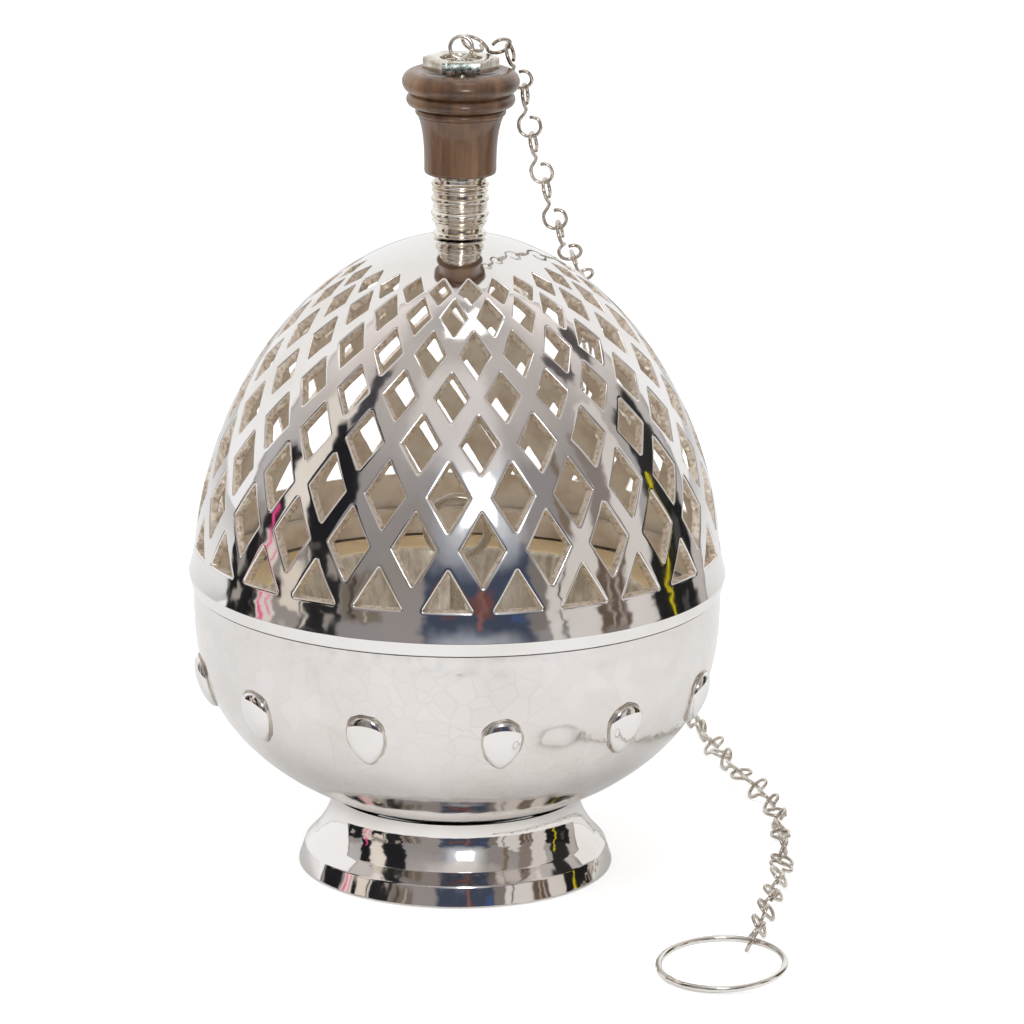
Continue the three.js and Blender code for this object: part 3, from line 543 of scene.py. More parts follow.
def hole_loop(corners, centre, offset, draft, edge_steps):
    """A hole's outline moved out by offset and in by draft, as (across, s), its corners rounded.
    corners are (across, s); the widths are true at each height."""
    pitch = 2 * math.pi / COLUMNS
    flat = [Vector(((across - centre) * pitch * radius_at(s), s)) for across, s in corners]
    count = len(flat)
    if count == 3:
        sides = [(flat[i] - flat[(i + 1) % 3]).length for i in range(3)]
        middle = sum((flat[i] * sides[(i + 1) % 3] for i in range(3)), Vector((0, 0))) / sum(sides)
    else:
        middle = Vector((0, flat[1].y))
    across, up = flat[1] - flat[0], middle - flat[0]
    room = abs(across.x * up.y - across.y * up.x) / across.length
    flat = [middle + (p - middle) * (1 - draft / room) for p in flat]
    arcs = []
    for i, p in enumerate(flat):
        into = (flat[i - 1] - p).normalized()
        out = (flat[(i + 1) % count] - p).normalized()
        bisector = (into + out).normalized()
        pivot = p + bisector * (HOLE_CORNER / math.sin(into.angle(out) / 2))
        turns = []
        for edge in (into, out):
            outward = Vector((-edge.y, edge.x))
            if outward.dot(bisector) > 0:
                outward = -outward
            turns.append(math.atan2(outward.y, outward.x))
        delta = (turns[1] - turns[0] + math.pi) % (2 * math.pi) - math.pi
        points = []
        for k in range(CORNER_STEPS + 1):
            angle = turns[0] + delta * k / CORNER_STEPS
            points.append(pivot + Vector((math.cos(angle), math.sin(angle))) * (HOLE_CORNER + offset))
        arcs.append(points)
    loop = []
    for i, steps in enumerate(edge_steps):
        loop.extend(arcs[i])
        a, b = arcs[i][-1], arcs[(i + 1) % count][0]
        loop.extend(a.lerp(b, k / steps) for k in range(1, steps))
    return [(centre + p.x / (pitch * radius_at(p.y)), p.y) for p in loop]


def pierced_column():
    """The outline of one repeat of the pattern, and the loops round each of its holes."""
    base, apex, wide = TRIANGLE
    holes = [(1.0, [(1 - wide, rise(base)), (1 + wide, rise(base)), (1.0, rise(apex))])]
    side = [(0.5, 0.0)]
    rows = [(base + 0.22 * (apex - base), 0, 0)] + DIAMONDS
    for i, (centre, tall, half) in enumerate(rows):
        shift = 0.5 if i % 2 == 0 else 0.0
        side.append((shift, rise(centre)))
        if i:
            middle = shift + 0.5
            corners = [(middle, rise(centre - tall)), (middle + half, rise(centre))]
            corners += [(middle, rise(centre + tall)), (middle - half, rise(centre))]
            holes.append((middle, corners))
    side.append((side[-1][0], rise(PIERCE_TOP)))
    wall = []
    for a, b in zip(side, side[1:]):
        n = steps_between(a, b, 1.7)
        wall.extend((a[0] + (b[0] - a[0]) * k / n, a[1] + (b[1] - a[1]) * k / n) for k in range(n))
    wall.append(side[-1])
    across = [k / COLUMN_STEPS for k in range(1, COLUMN_STEPS)]
    top = [(side[-1][0] + step, side[-1][1]) for step in across[::-1]]
    contour = [(a + 1, s) for a, s in wall] + top + wall[::-1] + [(0.5 + step, 0.0) for step in across]
    rings = []
    for centre, corners in holes:
        steps = [steps_between(a, b, 1.4) for a, b in zip(corners, corners[1:] + corners[:1])]
        # the margins shrink with the dome's radius, which is 74 at the widest row
        small = min(1.0, 0.34 + 0.66 * radius_at(corners[0][1]) / 74)
        moves = [(out * small, draft * small) for out, draft, _, _ in HOLE_LOOPS]
        rings.append([hole_loop(corners, centre, out, draft, steps) for out, draft in moves])
    return contour, rings


def fill_column(contour, rings):
    """Triangles of one repeat: points as (across, s), faces, and the place among the points of
    each point of the contour and then of the holes."""
    stretch = math.radians(PITCH) * 62  # millimetres to a column in the flat chart
    outlines = [[(a * stretch, s) for a, s in loop] for loop in [contour] + [ring[0] for ring in rings]]
    border, *cuts = outlines
    flat, edges = [], []
    for outline in outlines:
        first, count = len(flat), len(outline)
        flat.extend(outline)
        edges.extend((first + i, first + (i + 1) % count) for i in range(count))

    def in_metal(point):
        return inside(point, border) and not any(inside(point, cut) for cut in cuts)

    # a staggered grid of points, none too near an outline
    fill = []
    y, row = 0.8, 0
    while y < rise(PIERCE_TOP):
        x = -0.2 * stretch + (0.9 if row % 2 else 0.0)
        while x < 2.2 * stretch:
            if in_metal((x, y)) and min((x - a) ** 2 + (y - b) ** 2 for a, b in flat) > 0.75:
                fill.append((x, y))
            x += 1.8
        y += 1.55
        row += 1
    result = geometry.delaunay_2d_cdt([Vector(p) for p in flat + fill], edges, [], 0, 1e-6)
    verts = result[0]
    faces = []
    for a, b, c in result[2]:
        if in_metal([sum(verts[i][axis] for i in (a, b, c)) / 3 for axis in (0, 1)]):
            area = (verts[b] - verts[a]).cross(verts[c] - verts[a])
            faces.append((a, b, c) if area > 0 else (a, c, b))
    home = {old: new for new, olds in enumerate(result[3]) for old in olds}
    return [(v.x / stretch, v.y) for v in verts], faces, home


def dome_point(across, s, depth):
    """A point below the dome's surface, and the surface's normal there."""
    z = float(np.interp(s, LINE_S, LINE_Z))
    nr, nz = outline_normal(dome_radius, z)
    c, sn, _ = polar(1, PIERCE_PHASE + across * PITCH, 0)
    normal = Vector((nr * c, nr * sn, nz))
    return Vector((radius_at(s) * c, radius_at(s) * sn, z)) - normal * depth, normal


def hole_wall(ring, column):
    """Points with their normals, in loops down the wall of a hole."""
    count = len(ring[0])
    walls = []
    for loop, (_, _, depth, _) in zip(ring[1:], HOLE_LOOPS[1:]):
        walls.append([dome_point(a + column, s, depth) for a, s in loop])
    middle = sum((p for p, _ in walls[-1]), Vector()) / count
    # the saw left the walls uneven
    rough = RNG.normal(0, 0.035, (len(HOLE_LOOPS), count))
    for k in range(CUT + 1, len(HOLE_LOOPS) - 1):
        for i, (p, n) in enumerate(walls[k - 1]):
            push = rough[k][i] + rough[k][i - 1] + 0.5 * rough[0][i]
            walls[k - 1][i] = (p + (middle - p).normalized() * push, n)
    for k, wall in enumerate(walls, 1):
        tilted = []
        for i, (p, n) in enumerate(wall):
            along = (wall[(i + 1) % count][0] - wall[i - 1][0]).normalized()
            toward = along.cross(n).normalized()
            if toward.dot(middle - p) < 0:
                toward = -toward
            tilt = math.radians(HOLE_LOOPS[k][3] + (rough[k][i] * 200 if k > CUT else 0))
            tilted.append((n * math.cos(tilt) + toward * math.sin(tilt)).normalized())
        yield [p for p, _ in wall], tilted


def crown_band():
    """Outline of the unpierced crown with its bore: place, normal and look."""
    radius = dome_radius(DOME_BASE + PIERCE_TOP * DOME_RISE)
    crown = []
    for i in range(15):
        r = radius + (DOME_TOP_RADIUS - radius) * i / 14
        crown.append((r, dome_height(r)))
    band = [((r, z), outline_normal(dome_radius, z), SILVER) for r, z in crown]
    under = DOME_TOP - DOME_WALL
    band.append(((DOME_TOP_RADIUS - 0.4, DOME_TOP), (0, 1), SILVER))
    band.append(((ROD_BORE, DOME_TOP), (0, 1), SILVER))
    band.append(((ROD_BORE, under), (0, -1), INNER))
    band.append(((DOME_TOP_RADIUS - DOME_WALL / 2, under), (0, -1), INNER))
    for r, z in crown[::-1]:
        nr, nz = outline_normal(dome_radius, z)
        band.append(((r - DOME_WALL * nr, z - DOME_WALL * nz), (-nr, -nz), INNER))
    return band


def edge_band():
    """Outline of the dome's chamfered lower edge, from its arris round to the inside."""
    nr, nz = outline_normal(dome_radius, DOME_BASE)
    cr, cz = COVER_EDGE_RADIUS - ARRIS_RADIUS, COVER_BASE - DOME_BASE
    length = math.hypot(cr, cz)
    chamfer = Vector((-cz / length, cr / length))
    band = [((ARRIS_RADIUS, DOME_BASE), (nr, nz), SILVER)]
    for t, k in ((0.04, 0.5), (0.1, 0.85), (0.2, 1.0), (0.55, 1.0), (0.93, 1.0)):
        mixed = Vector((nr, nz)).lerp(chamfer, k).normalized()
        band.append(((ARRIS_RADIUS + cr * t, DOME_BASE + cz * t), tuple(mixed), SILVER))
    for inward, up, normal, look in (
        (0.03, 0.04, (0.7, -0.7), SILVER), (0.3, 0, (0, -1), SILVER), (1.0, 0, (0, -1), INNER),
        (1.3, 0.2, (-0.7, -0.7), INNER), (1.3, 1.2, (-1, 0), INNER),
    ):
        band.append(((COVER_EDGE_RADIUS - inward, COVER_BASE + up), normal, look))
    band.append(((ARRIS_RADIUS - DOME_WALL * nr, DOME_BASE - DOME_WALL * nz), (-nr, -nz), INNER))
    return band


def make_dome(m):
    contour, rings = pierced_column()
    cell, triangles, home = fill_column(contour, rings)
    size = len(cell)
    points, normals, faces, looks = [], [], [], []
    for column in range(COLUMNS):
        start = len(points)
        for depth, sign in ((0.0, 1), (DOME_WALL, -1)):
            for across, s in cell:
                p, n = dome_point(across + column, s, depth)
                points.append(p)
                normals.append(n * sign)
        for a, b, c in triangles:
            faces.append((start + a, start + b, start + c))
            faces.append((start + size + c, start + size + b, start + size + a))
            looks += [SILVER, INNER]
        number = len(contour)
        for ring in rings:
            count = len(ring[0])
            rows = [[start + home[number + i] for i in range(count)]]
            number += count
            for places, tilted in hole_wall(ring, column):
                rows.append(range(len(points), len(points) + count))
                points += places
                normals += tilted
            rows.append([i + size for i in rows[0]])
            for k, (a, b) in enumerate(zip(rows, rows[1:])):
                faces.extend((a[i], a[(i + 1) % count], b[(i + 1) % count], b[i]) for i in range(count))
                looks += [SILVER if k < CUT - 1 else EDGE if k < len(rows) - 2 else INNER] * count
    # crown and edge, turned with the same number of sides
    sides = COLUMNS * COLUMN_STEPS
    for band, pick in ((crown_band(), min), (edge_band(), max)):
        start = len(points)
        for i in range(sides):
            c, sn, _ = polar(1, PIERCE_PHASE + (0.5 + i / COLUMN_STEPS) * PITCH, 0)
            for (r, z), (a, b), _ in band:
                points.append(Vector((r * c, r * sn, z)))
                normals.append(Vector((a * c, a * sn, b)))
        strip = grid(sides, len(band), start, wrap_rows=True, wrap=False, flip=True)
        faces += strip if pick is min else [face[::-1] for face in strip]
        looks += [pick(a[2], b[2]) for a, b in zip(band, band[1:])] * sides
    materials = [m["silver"], m["inner"], m["edge"]]
    obj = make_object("dome", (points, faces), materials, "cover", normals=normals, looks=looks)
    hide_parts("cover_dome")


# ---------------------------------------------------------------- bowl and foot
def make_bowl(m):
    """Hammered outside: flat facets that meet in faint lines of painted shade, polished away near the foot."""
    rim, z_low = BOWL_RIM, BOWL_RIM - BOWL_DEPTH
    heights = [rim - BOWL_DEPTH * math.cos(i / 200 * math.pi / 2) ** 0.8 for i in range(201)]
    radii = [bowl_radius(z) for z in heights]
    outline = list(zip(radii, heights))
    steps = [math.dist(a, b) for a, b in zip(outline, outline[1:])]
    length = np.concatenate(([0], np.cumsum(steps)))

    def at(s):
        return float(np.interp(s, length, radii)), float(np.interp(s, length, heights))

    samples = []
    s = 0.0
    while s < length[-1]:
        r, z = at(s)
        samples.append((r, z))
        s += 1.0 if z > 21 or r < 34 else 0.6
    samples.append(outline[-1])
    # facet centres in rows round the bowl, each with its tilt and drop
    first, row_step, facet_width = 34.0, 5.6, 6.2
    tree = kdtree.KDTree(4000)
    tilts, drops = [], []
    for s in np.arange(first, length[-1], row_step):
        r, z = at(s)
        count = int(2 * math.pi * r / facet_width)
        shift = RNG.random() * 2 * math.pi
        for i in range(count):
            jitter = RNG.normal(0, 0.17, 2)
            angle = shift + 2 * math.pi * (i + jitter[0]) / count
            height = z + row_step * jitter[1]
            radius = bowl_radius(height)
            tree.insert((radius * math.cos(angle), radius * math.sin(angle), height), len(tilts))
            tilts.append(RNG.normal(0, 0.0035, 3))
            drops.append(RNG.normal(0, 0.008))
    tree.balance()

    def facet_depth(place):
        total, weight, nearest = 0.0, 0.0, None
        for centre, number, distance in tree.find_n(place, 4):
            value = 0.42 * distance**2 / 150
            for axis in range(3):
                value += (place[axis] - centre[axis]) * tilts[number][axis]
            value += drops[number]
            if nearest is None:
                nearest = distance
            share = math.exp(-(distance - nearest) * 3.2)
            total += value * share
            weight += share
        return 0.045 - total / weight

    circle = [(math.cos(turn), math.sin(turn)) for turn in turns_of(480)]
    points = []
    for r, z in samples:
        nr, nz = outline_normal(bowl_radius, min(max(z, z_low + 0.1), rim - 0.05))
        # no facets near the rim and the foot
        fade = min(max((rim - 2.2 - z) / 1.6, 0), 1) * min(max((z - 24.5) / 1.2, 0), 1)
        for c, sn in circle:
            x, y = r * c, r * sn
            depth = facet_depth((x, y, z)) * fade if fade > 0 else 0.0
            points.append((x - nr * c * depth, y - nr * sn * depth, z - nz * depth))
    # rim edge, inside and bottom
    inner_radius, inner_depth = BOWL_RIM_RADIUS - BOWL_WALL, BOWL_DEPTH - BOWL_WALL
    inner = [(BOWL_RIM_RADIUS - 0.25, rim), (inner_radius, rim)]
    for i in range(1, 41):
        share = math.sin(i / 40 * math.pi / 2)
        radius = inner_radius * max(1 - share**BOWL_FULLNESS, 0) ** (1 / BOWL_ROUNDNESS)
        inner.append((radius, rim - inner_depth * share))
    for r, z in inner:
        points.extend((r * c, r * sn, z) for c, sn in circle)
    rows = len(samples) + len(inner)
    shape = points, grid(rows, len(circle))
    looks = [0 if row < len(samples) + 1 else 1 for row in range(rows - 1) for _ in circle]
    materials = [m["hammered"], m["inner"]]
    obj = make_object("hammered_bowl", shape, materials, "bowl", sharp=50, looks=looks)
    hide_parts("bowl")


def make_foot(m):
    steps = 26
    flare = bezier([(40.2, 8.7), (37.0, 13.2), (35.0, 16.7), (36.0, FOOT_HEIGHT)], steps)
    outer = [(44.9, 0.0), (44.9, 0.35), (43.2, 5.5)] + flare
    outline = soften(outer, [0, 0.2, 0.35, 0.5] + [0] * steps, 5)
    inner = [(r - 1.0, z) for r, z in outline[::4]][::-1]
    profile = outline + [(FOOT_NECK_INNER, FOOT_HEIGHT)] + inner[1:]
    obj = make_object("spun_foot", lathe(profile, 240), [m["foot"]], "bowl", sharp=24)
    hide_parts("foot")


def on_bowl(degrees, across, along, out, centre_z):
    nr, nz = outline_normal(bowl_radius, centre_z)
    z = centre_z + along * nr
    nr, nz = outline_normal(bowl_radius, z)
    angle = degrees + math.degrees(across / bowl_radius(centre_z))
    return polar(bowl_radius(z) + out * nr, angle, z + out * nz)


def make_studs(m):
    """Drop-shaped studs with a rounded crown, each in its own line of stained solder."""
    centre = BOWL_RIM - 25.8
    sides, rings = 48, 12

    def drop(degrees, turn, half_width, half_height, point, out):
        """A place on a drop's outline; turn 0 is its broad upper end."""
        across = half_width * math.sin(turn) * (1 + 0.2 * math.cos(turn))
        along = half_height * math.cos(turn) * (1 + point * max(-math.cos(turn), 0) ** 6)
        return on_bowl(degrees, across, along, out, centre)

    for number in range(12):
        degrees = -80 + 30 * number
        wobble = RNG.normal(0, 0.02, 3)
        points = []
        for ring in range(rings + 1):
            t = ring / rings * math.pi / 2
            wide, tall = (math.cos(t) * (size + wobble[i]) for i, size in enumerate((5.35, 7.55)))
            out = 0.25 + 2.25 * math.sin(t) ** 0.8
            points.extend(drop(degrees, turn, wide, tall, 0.05, out) for turn in turns_of(sides))
        base = len(points)
        points.extend(drop(degrees, turn, 5.35, 7.5, 0, 0.0) for turn in turns_of(sides))
        faces = grid(rings + 1, sides, flip=True)
        for i in range(sides):
            k = (i + 1) % sides
            faces.append((base + i, i, k, base + k))
        faces.append(tuple(base + i for i in range(sides)))
        name = f"stud_{number + 1:02d}"
        obj = make_object(name, (points, faces), [m["silver"]], "bowl", sharp=80)
        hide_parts(f"cabochon_{number + 1:02d}")
        line = []
        for turn in turns_of(sides):
            ripple = 0.16 * math.sin(5 * turn + number) + 0.1 * math.sin(11 * turn + 2 * number)
            line.append(Vector(drop(degrees, turn, 5.5 + ripple, 7.7 + ripple, 0.04, 0.08)))
        solder = tube(line, 0.34, 8, closed=True, up=Vector((0, 0, 1)))
        make_object(f"{name}_solder", solder, [m["solder"]], "bowl", sharp=80)


# ---------------------------------------------------------------- grip, nut and eye
def make_collar(m):
    base = DOME_TOP + GAP
    profile = [(ROD_BORE, base), (6.4, base)] + arc(6.6, base + 0.92, 0.9, -85, 78, 10)
    profile += [(6.3, base + 2.0), (6.3, base + 2.6), (6.9, base + 2.95), (7.15, base + 3.6)]
    # height of its middle, half its height and its radius, for each bead and rib
    for level, half, radius in (
        (4.61, 0.5, 7.8), (6.56, 1.27, 8.15), (8.5, 0.34, 7.75), (9.2, 0.34, 7.7),
        (10.76, 1.08, 8.15), (13.25, 0.73, 7.95), (14.9, 0.75, 8.1),
    ):
        profile += arc(radius - half, base + level, half, -74, 74, 9)
    top = base + 17.7
    profile += [(7.25, base + 15.9), (7.2, base + 16.7), (7.7, base + 16.95), (7.7, top), (ROD_BORE, top)]
    obj = make_object("ribbed_neck", lathe(profile, 120), [m["collar"]], "cover", sharp=42)
    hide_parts("ribbed_collar")
    return top + GAP


def make_handle(m, base):
    top = base + 29.0
    # half heights of the bead and the two rings at the grip's top
    bead, ring, crown = 1.15, 2.0, 3.15
    ring_z = top - 2 * crown - ring + 0.2
    bead_z = ring_z - ring - bead - 0.3
    flare = [(10.1, base + 0.9), (10.1, base + 5), (10.1, bead_z - 5.5), (12.0, bead_z - bead)]
    profile = [(ROD_BORE, base), (9.7, base), (9.98, base + 0.25)] + bezier(flare, 24)
    profile += arc(12.7 - bead, bead_z, bead, -75, 75, 10)
    profile += [(11.9, ring_z - 2.05)]
    profile += arc(15.2 - ring, ring_z, ring, -85, 62, 14)
    profile += arc(16.4 - crown, top - crown, crown, -58, 90, 20)
    profile += [(10.9, top), (10.5, top - 0.25), (4.8, top - 0.25), (4.8, base + 12.7), (ROD_BORE, base + 12.7)]
    obj = make_object("walnut_grip", lathe(profile, 144), [m["wood"]], "cover", sharp=50)
    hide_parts("wood_handle")
    return top + GAP


NUT_HEIGHT = 3.4


def make_nut(m, base):
    """Hexagonal plate with bevelled corners, a round recess and the sleeve under it."""
    top, floor = base + NUT_HEIGHT, base + 1.8
    corner = 10.7
    turns = turns_of(96)

    def hexagon(angle, shrink):
        # a regular hexagon with a corner at 0 degrees, its corners slightly rounded
        inward = math.degrees(angle) % 60 - 30
        flat = (corner * math.cos(math.radians(30)) - shrink) / math.cos(math.radians(inward))
        return min(flat, corner - 0.05 - shrink)

    outside = [(0.25, base), (0.06, base + 0.08), (0.0, base + 0.22)]
    outside += [(0.0, top - 0.2), (0.06, top - 0.06), (0.25, top)]
    recess = [(6.25, top), (5.95, top - 0.12), (5.85, top - 0.4), (5.85, floor + 0.2), (5.6, floor), (1.6, floor)]
    sleeve = [
        (1.45, floor - 0.1), (1.4, base + 0.4), (ROD_BORE, base + 0.4), (ROD_BORE, base - 16),
        (4.4, base - 16), (4.5, base - 15.8), (4.5, base),
    ]
    rows = [([hexagon(turn, shrink) for turn in turns], z) for shrink, z in outside]
    rows += [([r] * len(turns), z) for r, z in recess + sleeve]
    points = []
    for radii, z in rows:
        points.extend((r * math.cos(turn), r * math.sin(turn), z) for r, turn in zip(radii, turns))
    shape = points, grid(len(rows), len(turns), wrap_rows=True)
    obj = make_object("hexagon_nut", shape, [m["nut"]], "cover", sharp=28)
    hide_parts("hex_nut")
    return floor


def make_eye(m, floor):
    """A wire bent to a loop on a turned shank."""
    collar = floor + GAP
    loop_z = collar + 0.8 + 3.2
    shank = [
        (0, -3.1), (2.2, -3.1), (2.4, -2.9), (2.4, -2.2), (2.2, -2.0), (1.1, -2.0), (1.1, 0), (1.85, 0),
        (2.0, 0.15), (2.0, 0.55), (1.7, 0.8), (0.75, 0.95), (0.5, 1.1), (0, 1.1),
    ]
    radius, start, turn, steps = 3.1, -84, 348, 48
    loop = []
    for i in range(steps + 1):
        angle = math.radians(start + turn * i / steps)
        across, up = radius * math.cos(angle), radius * math.sin(angle)
        # its ends pass each other
        loop.append(Vector((across, 0.22 * (i / steps - 0.5), loop_z + up)))
    shank_mesh = lathe([(r, collar + z) for r, z in shank], 40, False)
    shape = join([shank_mesh, tube(loop, 0.58, 12, up=Vector((0, 1, 0)))])
    obj = make_object("eye_loop", shape, [m["ring"]], "eye", sharp=50)
    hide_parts("top_eye")
    return loop_z


# ---------------------------------------------------------------- chain and ring
RING_HOLD = (82.2, -81.6, 3.8)
RING_TURN = 236.3
# The chain's way from the eye. Beside the grip: azimuth, distance out of it and height above
# the nut's top
ROUTE_HANDLE = [
    (28, -6.6, 2.9), (31.5, -0.4, 0.9), (32, 4.2, -3.8), (33, 4.6, -10.8), (33, 5.3, -17.6),
    (33.3, 9.4, -31.2), (33.3, 14.2, -44.6),
]
# On the dome: azimuth and share of its rise
ROUTE_DOME = [(34, 0.886), (43, 0.786), (50, 0.67), (55, 0.55), (59, 0.41), (62, 0.245), (64, 0.085)]
# Beside the bowl: azimuth, distance out from the arris and height
ROUTE_BOWL = [(66, 6.0, 74), (66, 6.0, 50), (66, 6.4, 22), (67, 8.4, 8), (68, 16.4, 3.4)]
ROUTE_GROUND = [
    (36.6, 104), (40.6, 128), (48.6, 146), (60, 150.4), (69, 141), (73, 127), (77.4, 104),
    (82.4, 81), (89, 60), (94, 38), (94.8, 14), (93.2, -14), (89.2, -40), (85.4, -60),
]
LINK_PITCH = 14.4
LINK_HALF_WIDTH = 3.2
# Half of a link's wire, from its open end to the stem: shares of its half length and half width
LINK_SHAPE = [
    (0.27, 0.12), (0.28, 0.5), (0.38, 0.86), (0.58, 0.98), (0.78, 0.90), (0.94, 0.52),
    (1.0, 0.0), (0.95, -0.5), (0.80, -0.88), (0.56, -0.98), (0.32, -0.82), (0.12, -0.36),
]


def chain_route(nut_top, eye_z):
    # the CAD chain's wire, and its ends' distances from the middles of the eye and the ring's wire
    wire, from_eye, from_ring = 0.62, 1.63, 2.02
    hold = math.radians(52)
    points = [(from_eye * math.cos(hold), 0, eye_z + from_eye * math.sin(hold))]
    points += [polar(16.4 + out, degrees, nut_top + up) for degrees, out, up in ROUTE_HANDLE]
    clear = 5.0  # from the dome's surface to the chain's middle
    for degrees, share in ROUTE_DOME:
        z = DOME_BASE + share * DOME_RISE
        nr, nz = outline_normal(dome_radius, z)
        points.append(polar(dome_radius(z) + clear * nr, degrees, z + clear * nz))
    points += [polar(ARRIS_RADIUS + out, degrees, z) for degrees, out, z in ROUTE_BOWL]
    points += [(x, y, math.sqrt(0.5) * LINK_HALF_WIDTH + wire) for x, y in ROUTE_GROUND]
    x, y, z = polar(from_ring, RING_TURN, RING_HOLD[2])
    points.append((RING_HOLD[0] + x, RING_HOLD[1] + y, z))
    return catmull(points, 60)


def spaced(path, count):
    """Points along the path at equal steps."""
    steps = [0.0]
    for a, b in zip(path, path[1:]):
        steps.append(steps[-1] + (b - a).length)
    out, j = [], 0
    for i in range(count + 1):
        goal = steps[-1] * i / count
        while j < len(steps) - 2 and steps[j + 1] < goal:
            j += 1
        t = (goal - steps[j]) / max(steps[j + 1] - steps[j], 1e-9)
        out.append(path[j].lerp(path[j + 1], min(max(t, 0), 1)))
    return out


def jack_link(middle, along, first, second, half, skew):
    """One wire bent to a figure of eight: each loop is open beside the stem, a quarter turn apart."""
    w = LINK_HALF_WIDTH
    path = [middle - along * (half * reach) + first * (w * wide * skew[0]) for reach, wide in LINK_SHAPE]
    path += [middle + along * (half * reach) + second * (-w * wide * skew[1]) for reach, wide in LINK_SHAPE[::-1]]
    # the wire stays on the floor and inside the reach of the CAD chain
    furthest_x, furthest_y, lowest = 96.7, 150.9, 0.58
    wire = [Vector((min(p.x, furthest_x), min(p.y, furthest_y), max(p.z, lowest))) for p in catmull(path, 3)]
    return tube(wire, 0.54, 8)


def make_chain(m, nut_top, eye_z):
    path = chain_route(nut_top, eye_z)
    length = sum((b - a).length for a, b in zip(path, path[1:]))
    links = round(length / LINK_PITCH)
    joints = spaced(path, links)
    parts = []
    for i, (before, after) in enumerate(zip(joints, joints[1:])):
        along = after - before
        half = along.length / 2 + 0.42
        along.normalize()
        middle = (after + before) / 2
        outward = Vector((middle.x, middle.y, 0)).normalized()
        away = Vector((0, 0, 1)) * math.hypot(along.x, along.y) - outward * along.z
        away = (away - along * away.dot(along)).normalized()
        # degrees by which its two loops turn from the surface that it lies on
        start = 120 if i == 0 else -45
        end = 30 if i == links - 1 else -45
        if middle.z < 6 and 0 < i < links - 1:
            start += RNG.normal(0, 24)
            end += RNG.normal(0, 24)
        first = Matrix.Rotation(math.radians(start), 3, along) @ away
        second = Matrix.Rotation(math.radians(-end), 3, along) @ -away
        skew = 1 + RNG.normal(0, 0.03, 2)
        parts.append(jack_link(middle, along, first, second, half, skew))
    obj = make_object("jack_chain", join(parts), [m["chain"]], "eye", sharp=80)
    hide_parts("chain")
    route = [tuple(p * MM) for p in path]
    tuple(route[0])


def make_ring(m):
    radius, wire = 17.25, 0.95
    toward = Vector(polar(1, RING_TURN, 0))
    tangent = Vector((-toward.y, toward.x, 0))
    tilt = math.asin((RING_HOLD[2] - wire - 0.05) / (2 * radius))
    fall = Matrix.Rotation(tilt, 3, tangent) @ toward
    up = tangent.cross(fall) * -1
    centre = Vector(RING_HOLD) + fall * radius
    path, radii = [], []
    for angle in turns_of(144):
        direction = -fall * math.cos(angle) + tangent * math.sin(angle)
        path.append(centre + direction * radius)
        # the brazed joint, 205 degrees round, is a small lump
        lump = math.degrees(angle) - 205
        radii.append(wire + 0.14 * math.exp(-((lump / 3.2) ** 2)) + 0.02 * math.sin(7 * angle))
    shape = tube(path, radii, 14, closed=True, up=up)
    obj = make_object("finger_loop", shape, [m["ring"]], "finger_ring", sharp=80)
    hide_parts("finger_ring")
    return obj


# ---------------------------------------------------------------- inside
def make_pan(m):
    top = BOWL_RIM - 4.5
    floor = top - 21.5
    flange, wall, sides = 66.9, 0.8, 180
    mouth, bottom = flange - 12.1, flange - 18.1
    outer = [(0, floor), (bottom - 1.5, floor), (bottom, floor + 1.5), (mouth, top - wall)]
    outer += [(flange - 0.4, top - wall), (flange, top - 0.4), (flange, top - 0.1), (flange - 0.3, top)]
    inner = [(mouth + 0.4, top), (mouth - 0.8, top - 0.9), (bottom - 0.8, floor + 2.0)]
    inner += [(bottom - 2.3, floor + wall), (0, floor + wall)]
    rounding = [0, 0.8, 1.0, 0.4, 0.1, 0, 0, 0.1, 0.6, 0.6, 0.8, 0.9, 0]
    profile = soften(outer + inner, rounding)
    # faces run round the profile: the flange is brass, the wall has painted reflection streaks and the floor is
    # plain
    looks = []
    for (r0, z0), (r1, z1) in zip(profile, profile[1:] + profile[:1]):
        looks.append(0 if r0 + r1 > 2 * mouth else 2 if max(z0, z1) < floor + 1.6 else 1)
    materials = [m["brass"], m["pan_wall"], m["inner"]]
    obj = make_object("charcoal_dish", lathe(profile, sides), materials, "pan", looks=looks * sides)
    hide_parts("charcoal_pan")
    ring_radius, ring_wire = 8.65, 1.35
    ring_z = BOWL_RIM + 16.2
    stem_top = ring_z - ring_radius - ring_wire - GAP
    base = floor + 1.1
    stem = [(0, base), (5.8, base), (6.0, base + 0.3), (4.6, base + 1.0), (2.6, base + 1.5), (2.2, base + 2.6)]
    stem += [(2.2, stem_top - 2.4), (2.9, stem_top - 1.6), (2.9, stem_top - 0.9), (2.2, stem_top), (0, stem_top)]
    stem = soften(stem, [0, 0, 0.2, 0.5, 0.5, 0.8, 0.6, 0.4, 0.4, 0.3, 0], 3)
    obj = make_object("dish_stem", lathe(stem, 48), [m["steel"]], "pan", sharp=50)
    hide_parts("pan_stem")
    loop = []
    for turn in turns_of(96):
        loop.append(Vector((ring_radius * math.cos(turn), 0, ring_z + ring_radius * math.sin(turn))))
    shape = tube(loop, ring_wire, 16, closed=True, up=Vector((0, 1, 0)))
    obj = make_object("dish_ring", shape, [m["steel"]], "pan", sharp=80)
    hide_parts("lifting_ring")


def dress_hidden_nodes(m):
    looks = {
        "bowl_lock_band": "brass", "cover_spigot": "inner", "pan_ledge": "inner",
        "tie_rod": "steel", "dome_washer": "steel", "lock_nut": "steel",
    }
    for node, look in looks.items():
        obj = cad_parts[node]
        obj.data.materials.clear()
        obj.data.materials.append(m[look])


